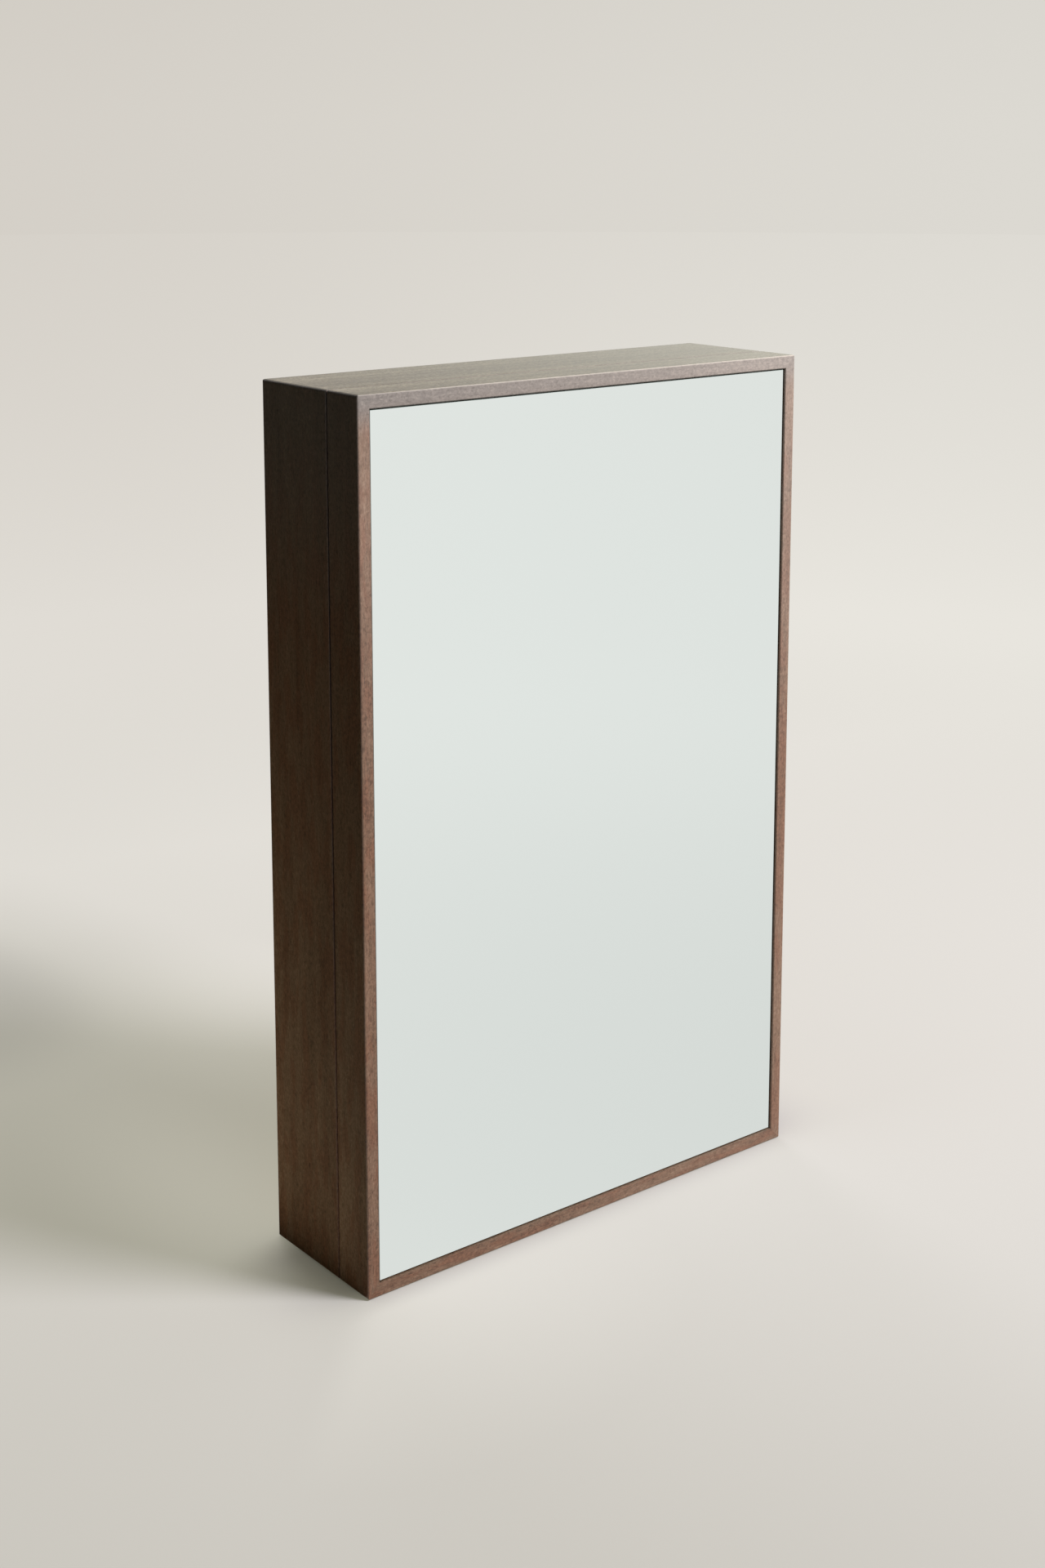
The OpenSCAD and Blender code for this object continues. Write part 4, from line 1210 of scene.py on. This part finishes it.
# Hinge screws: eight countersunk brass screws, two in each leaf, driven into the edge of the case
# and the back of the door until their heads are flush.
HINGE_SCREW_X = 0.186
HINGE_SCREW_SPREAD = 0.016
upper_middle = box_middle("upper_hinge_case_leaf").z
lower_middle = box_middle("lower_hinge_case_leaf").z
HINGE_SCREWS = {
    "case": (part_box("hinge_case_screws")[0].y, math.pi / 2, 11),
    "door": (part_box("hinge_door_screws")[1].y, -math.pi / 2, 12),
}
for body, (face_y, heading, seed) in HINGE_SCREWS.items():
    screws = grow(
        f"hinge_screws_{body}_brass",
        screw_tree,
        no_mesh,
        Start=(HINGE_SCREW_X, face_y, lower_middle - HINGE_SCREW_SPREAD),
        Step=(0, 0, 2 * HINGE_SCREW_SPREAD),
        Row_Step=(0, 0, upper_middle - lower_middle),
        Heading=(heading, 0, 0),
        Length=0.012,
        Seed=seed,
        Metal=brass(f"brass_{body}_screws", ROUND_BRUSHING),
        **SCREWS,
    )
    place_piece(screws, body, f"hinge_{body}_screws")


# Door boards: two stiles and two rails of the same walnut, mitred to match the case, their grain
# running round the mirror.
finish_node("door_left_stile", walnut, "Z", (1.3, 0.09, 0.23))
finish_node("door_right_stile", walnut, "Z", (2.35, 0.15, -0.13))
finish_node("door_top_rail", walnut, "X", (1.1, -0.09, -0.67))
finish_node("door_bottom_rail", walnut, "X", (2.6, 0.17, 0.10))


# Door splines: keys of birch plywood glued in the four mitres of the door, like those of the
# case.
finish_node("door_corner_splines", birch_plywood, (0.9, 0.0003, 0))


# Mirror: 3 mm float glass let into the front of the door, silvered and painted grey behind, its
# edges ground.
GLASS_EDGE = linear(88, 112, 102)
GLASS_GROUND = linear(150, 163, 160)
GLASS_BACK = linear(108, 110, 110)
GLASS_FACE = (0.90, 0.92, 0.91, 1)


def silvered(name):
    """A silvered face with its arris ground matt, greenish edges, and grey paint behind."""
    material, place = new_material(name)
    facing_y = facing(place)[1]
    on_face = facing_y < -0.9
    side = mix(facing_y > 0.5, GLASS_EDGE, GLASS_BACK)
    side = mix(facing_y < -0.5, side, GLASS_GROUND)
    ground = eased(noisy(place, (900, 900, 900)), 0.3, 0.7, 0.3, 0.5)
    polished = eased(noisy(place, (14, 14, 14), detail=3), 0.3, 0.7, 0.004, 0.012)
    rough = ground + (polished - ground) * on_face
    return principled(material, mix(on_face, side, GLASS_FACE), Roughness=rough, Metallic=on_face)


finish_node("mirror_glass", silvered)


# Mirror tape: three upright strips of white double-sided foam tape that hold the glass to the
# backing panel.
TAPE_WIDTH = 0.025
FOAM_TONES = [(0.1, 216, 214, 206), (0.6, 240, 238, 232)]


def foam(name):
    """Fine closed-cell foam."""
    material, place = new_material(name)
    inputs = {"Vector": place, "Scale": 2600.0}
    cells = output(place.tree, "ShaderNodeTexVoronoi", inputs, "Distance")
    color = color_ramp(cells, FOAM_TONES)
    return principled(material, color, (cells, 0.4, 0.0002), Roughness=0.9)


tape_low, tape_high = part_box("mirror_tape")
foam_material = foam("foam_tape")
TAPES = {
    "left": tape_low.x + TAPE_WIDTH / 2,
    "middle": box_middle("mirror_tape").x,
    "right": tape_high.x - TAPE_WIDTH / 2,
}
for side, middle_x in TAPES.items():
    low = (middle_x - TAPE_WIDTH / 2, tape_low.y, tape_low.z)
    high = (middle_x + TAPE_WIDTH / 2, tape_high.y, tape_high.z)
    strip = soft_slab(f"foam_strip_{side}", low, high, 0.0002, 0.03, 0.00002)
    strip.data.materials.append(foam_material)
    place_piece(strip, "door", "mirror_tape")


# Door backing: a sheet of birch plywood in a groove round the door, lined with the same linen as
# the case, which shows when the door stands open.
finish_node("backing_panel", birch_plywood, (2.2, 0, 0.9), upright=True)
door_linen = soft_slab("linen_on_door", *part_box("door_lining"), 0.0006, 0.02, 0.0001)
lay_sheet(
    door_linen, "door", "door_lining", linen("linen_door")
)


# Earring bars: three brass rods across the inside of the door, 18 mm off the linen, for the hooks
# of earrings.
finish_node("earring_bars", brass)


# Door ledges: two narrow ledges of walnut with a brass rail in front of each, for studs and clips.
# The ledges are glued to the lining, and the rails are let into both stiles.
finish_node("door_ledges", walnut, "X", (5.2, 0.10, -0.11), "inner")
finish_node("ledge_rails", brass)


# Door roses: a turned brass rose round each end of the bars and the rails, like those of the case
# but smaller.
DOOR_ROD_RADIUS = 0.0015
for row, node, count in (("bar", "earring_bars", 3), ("rail", "ledge_rails", 2)):
    low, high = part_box(node)
    spread = high.z - low.z - 2 * DOOR_ROD_RADIUS
    roses = grow(
        f"turned_roses_{row}",
        pair_tree,
        turned_rose(f"{row}_rose", DOOR_ROD_RADIUS),
        Start=(0, box_middle(node).y, low.z + DOOR_ROD_RADIUS),
        Step=(0, 0, spread / (count - 1)),
        Count=count,
        Reach=inner_x,
        Metal=brass(f"brass_{row}_roses"),
    )
    place_piece(roses, "door", "door_rod_roses")


# Catch plates: two nickel-plated steel discs let into the back of the left stile, facing the
# magnets.
finish_node("catch_plates", nickel)
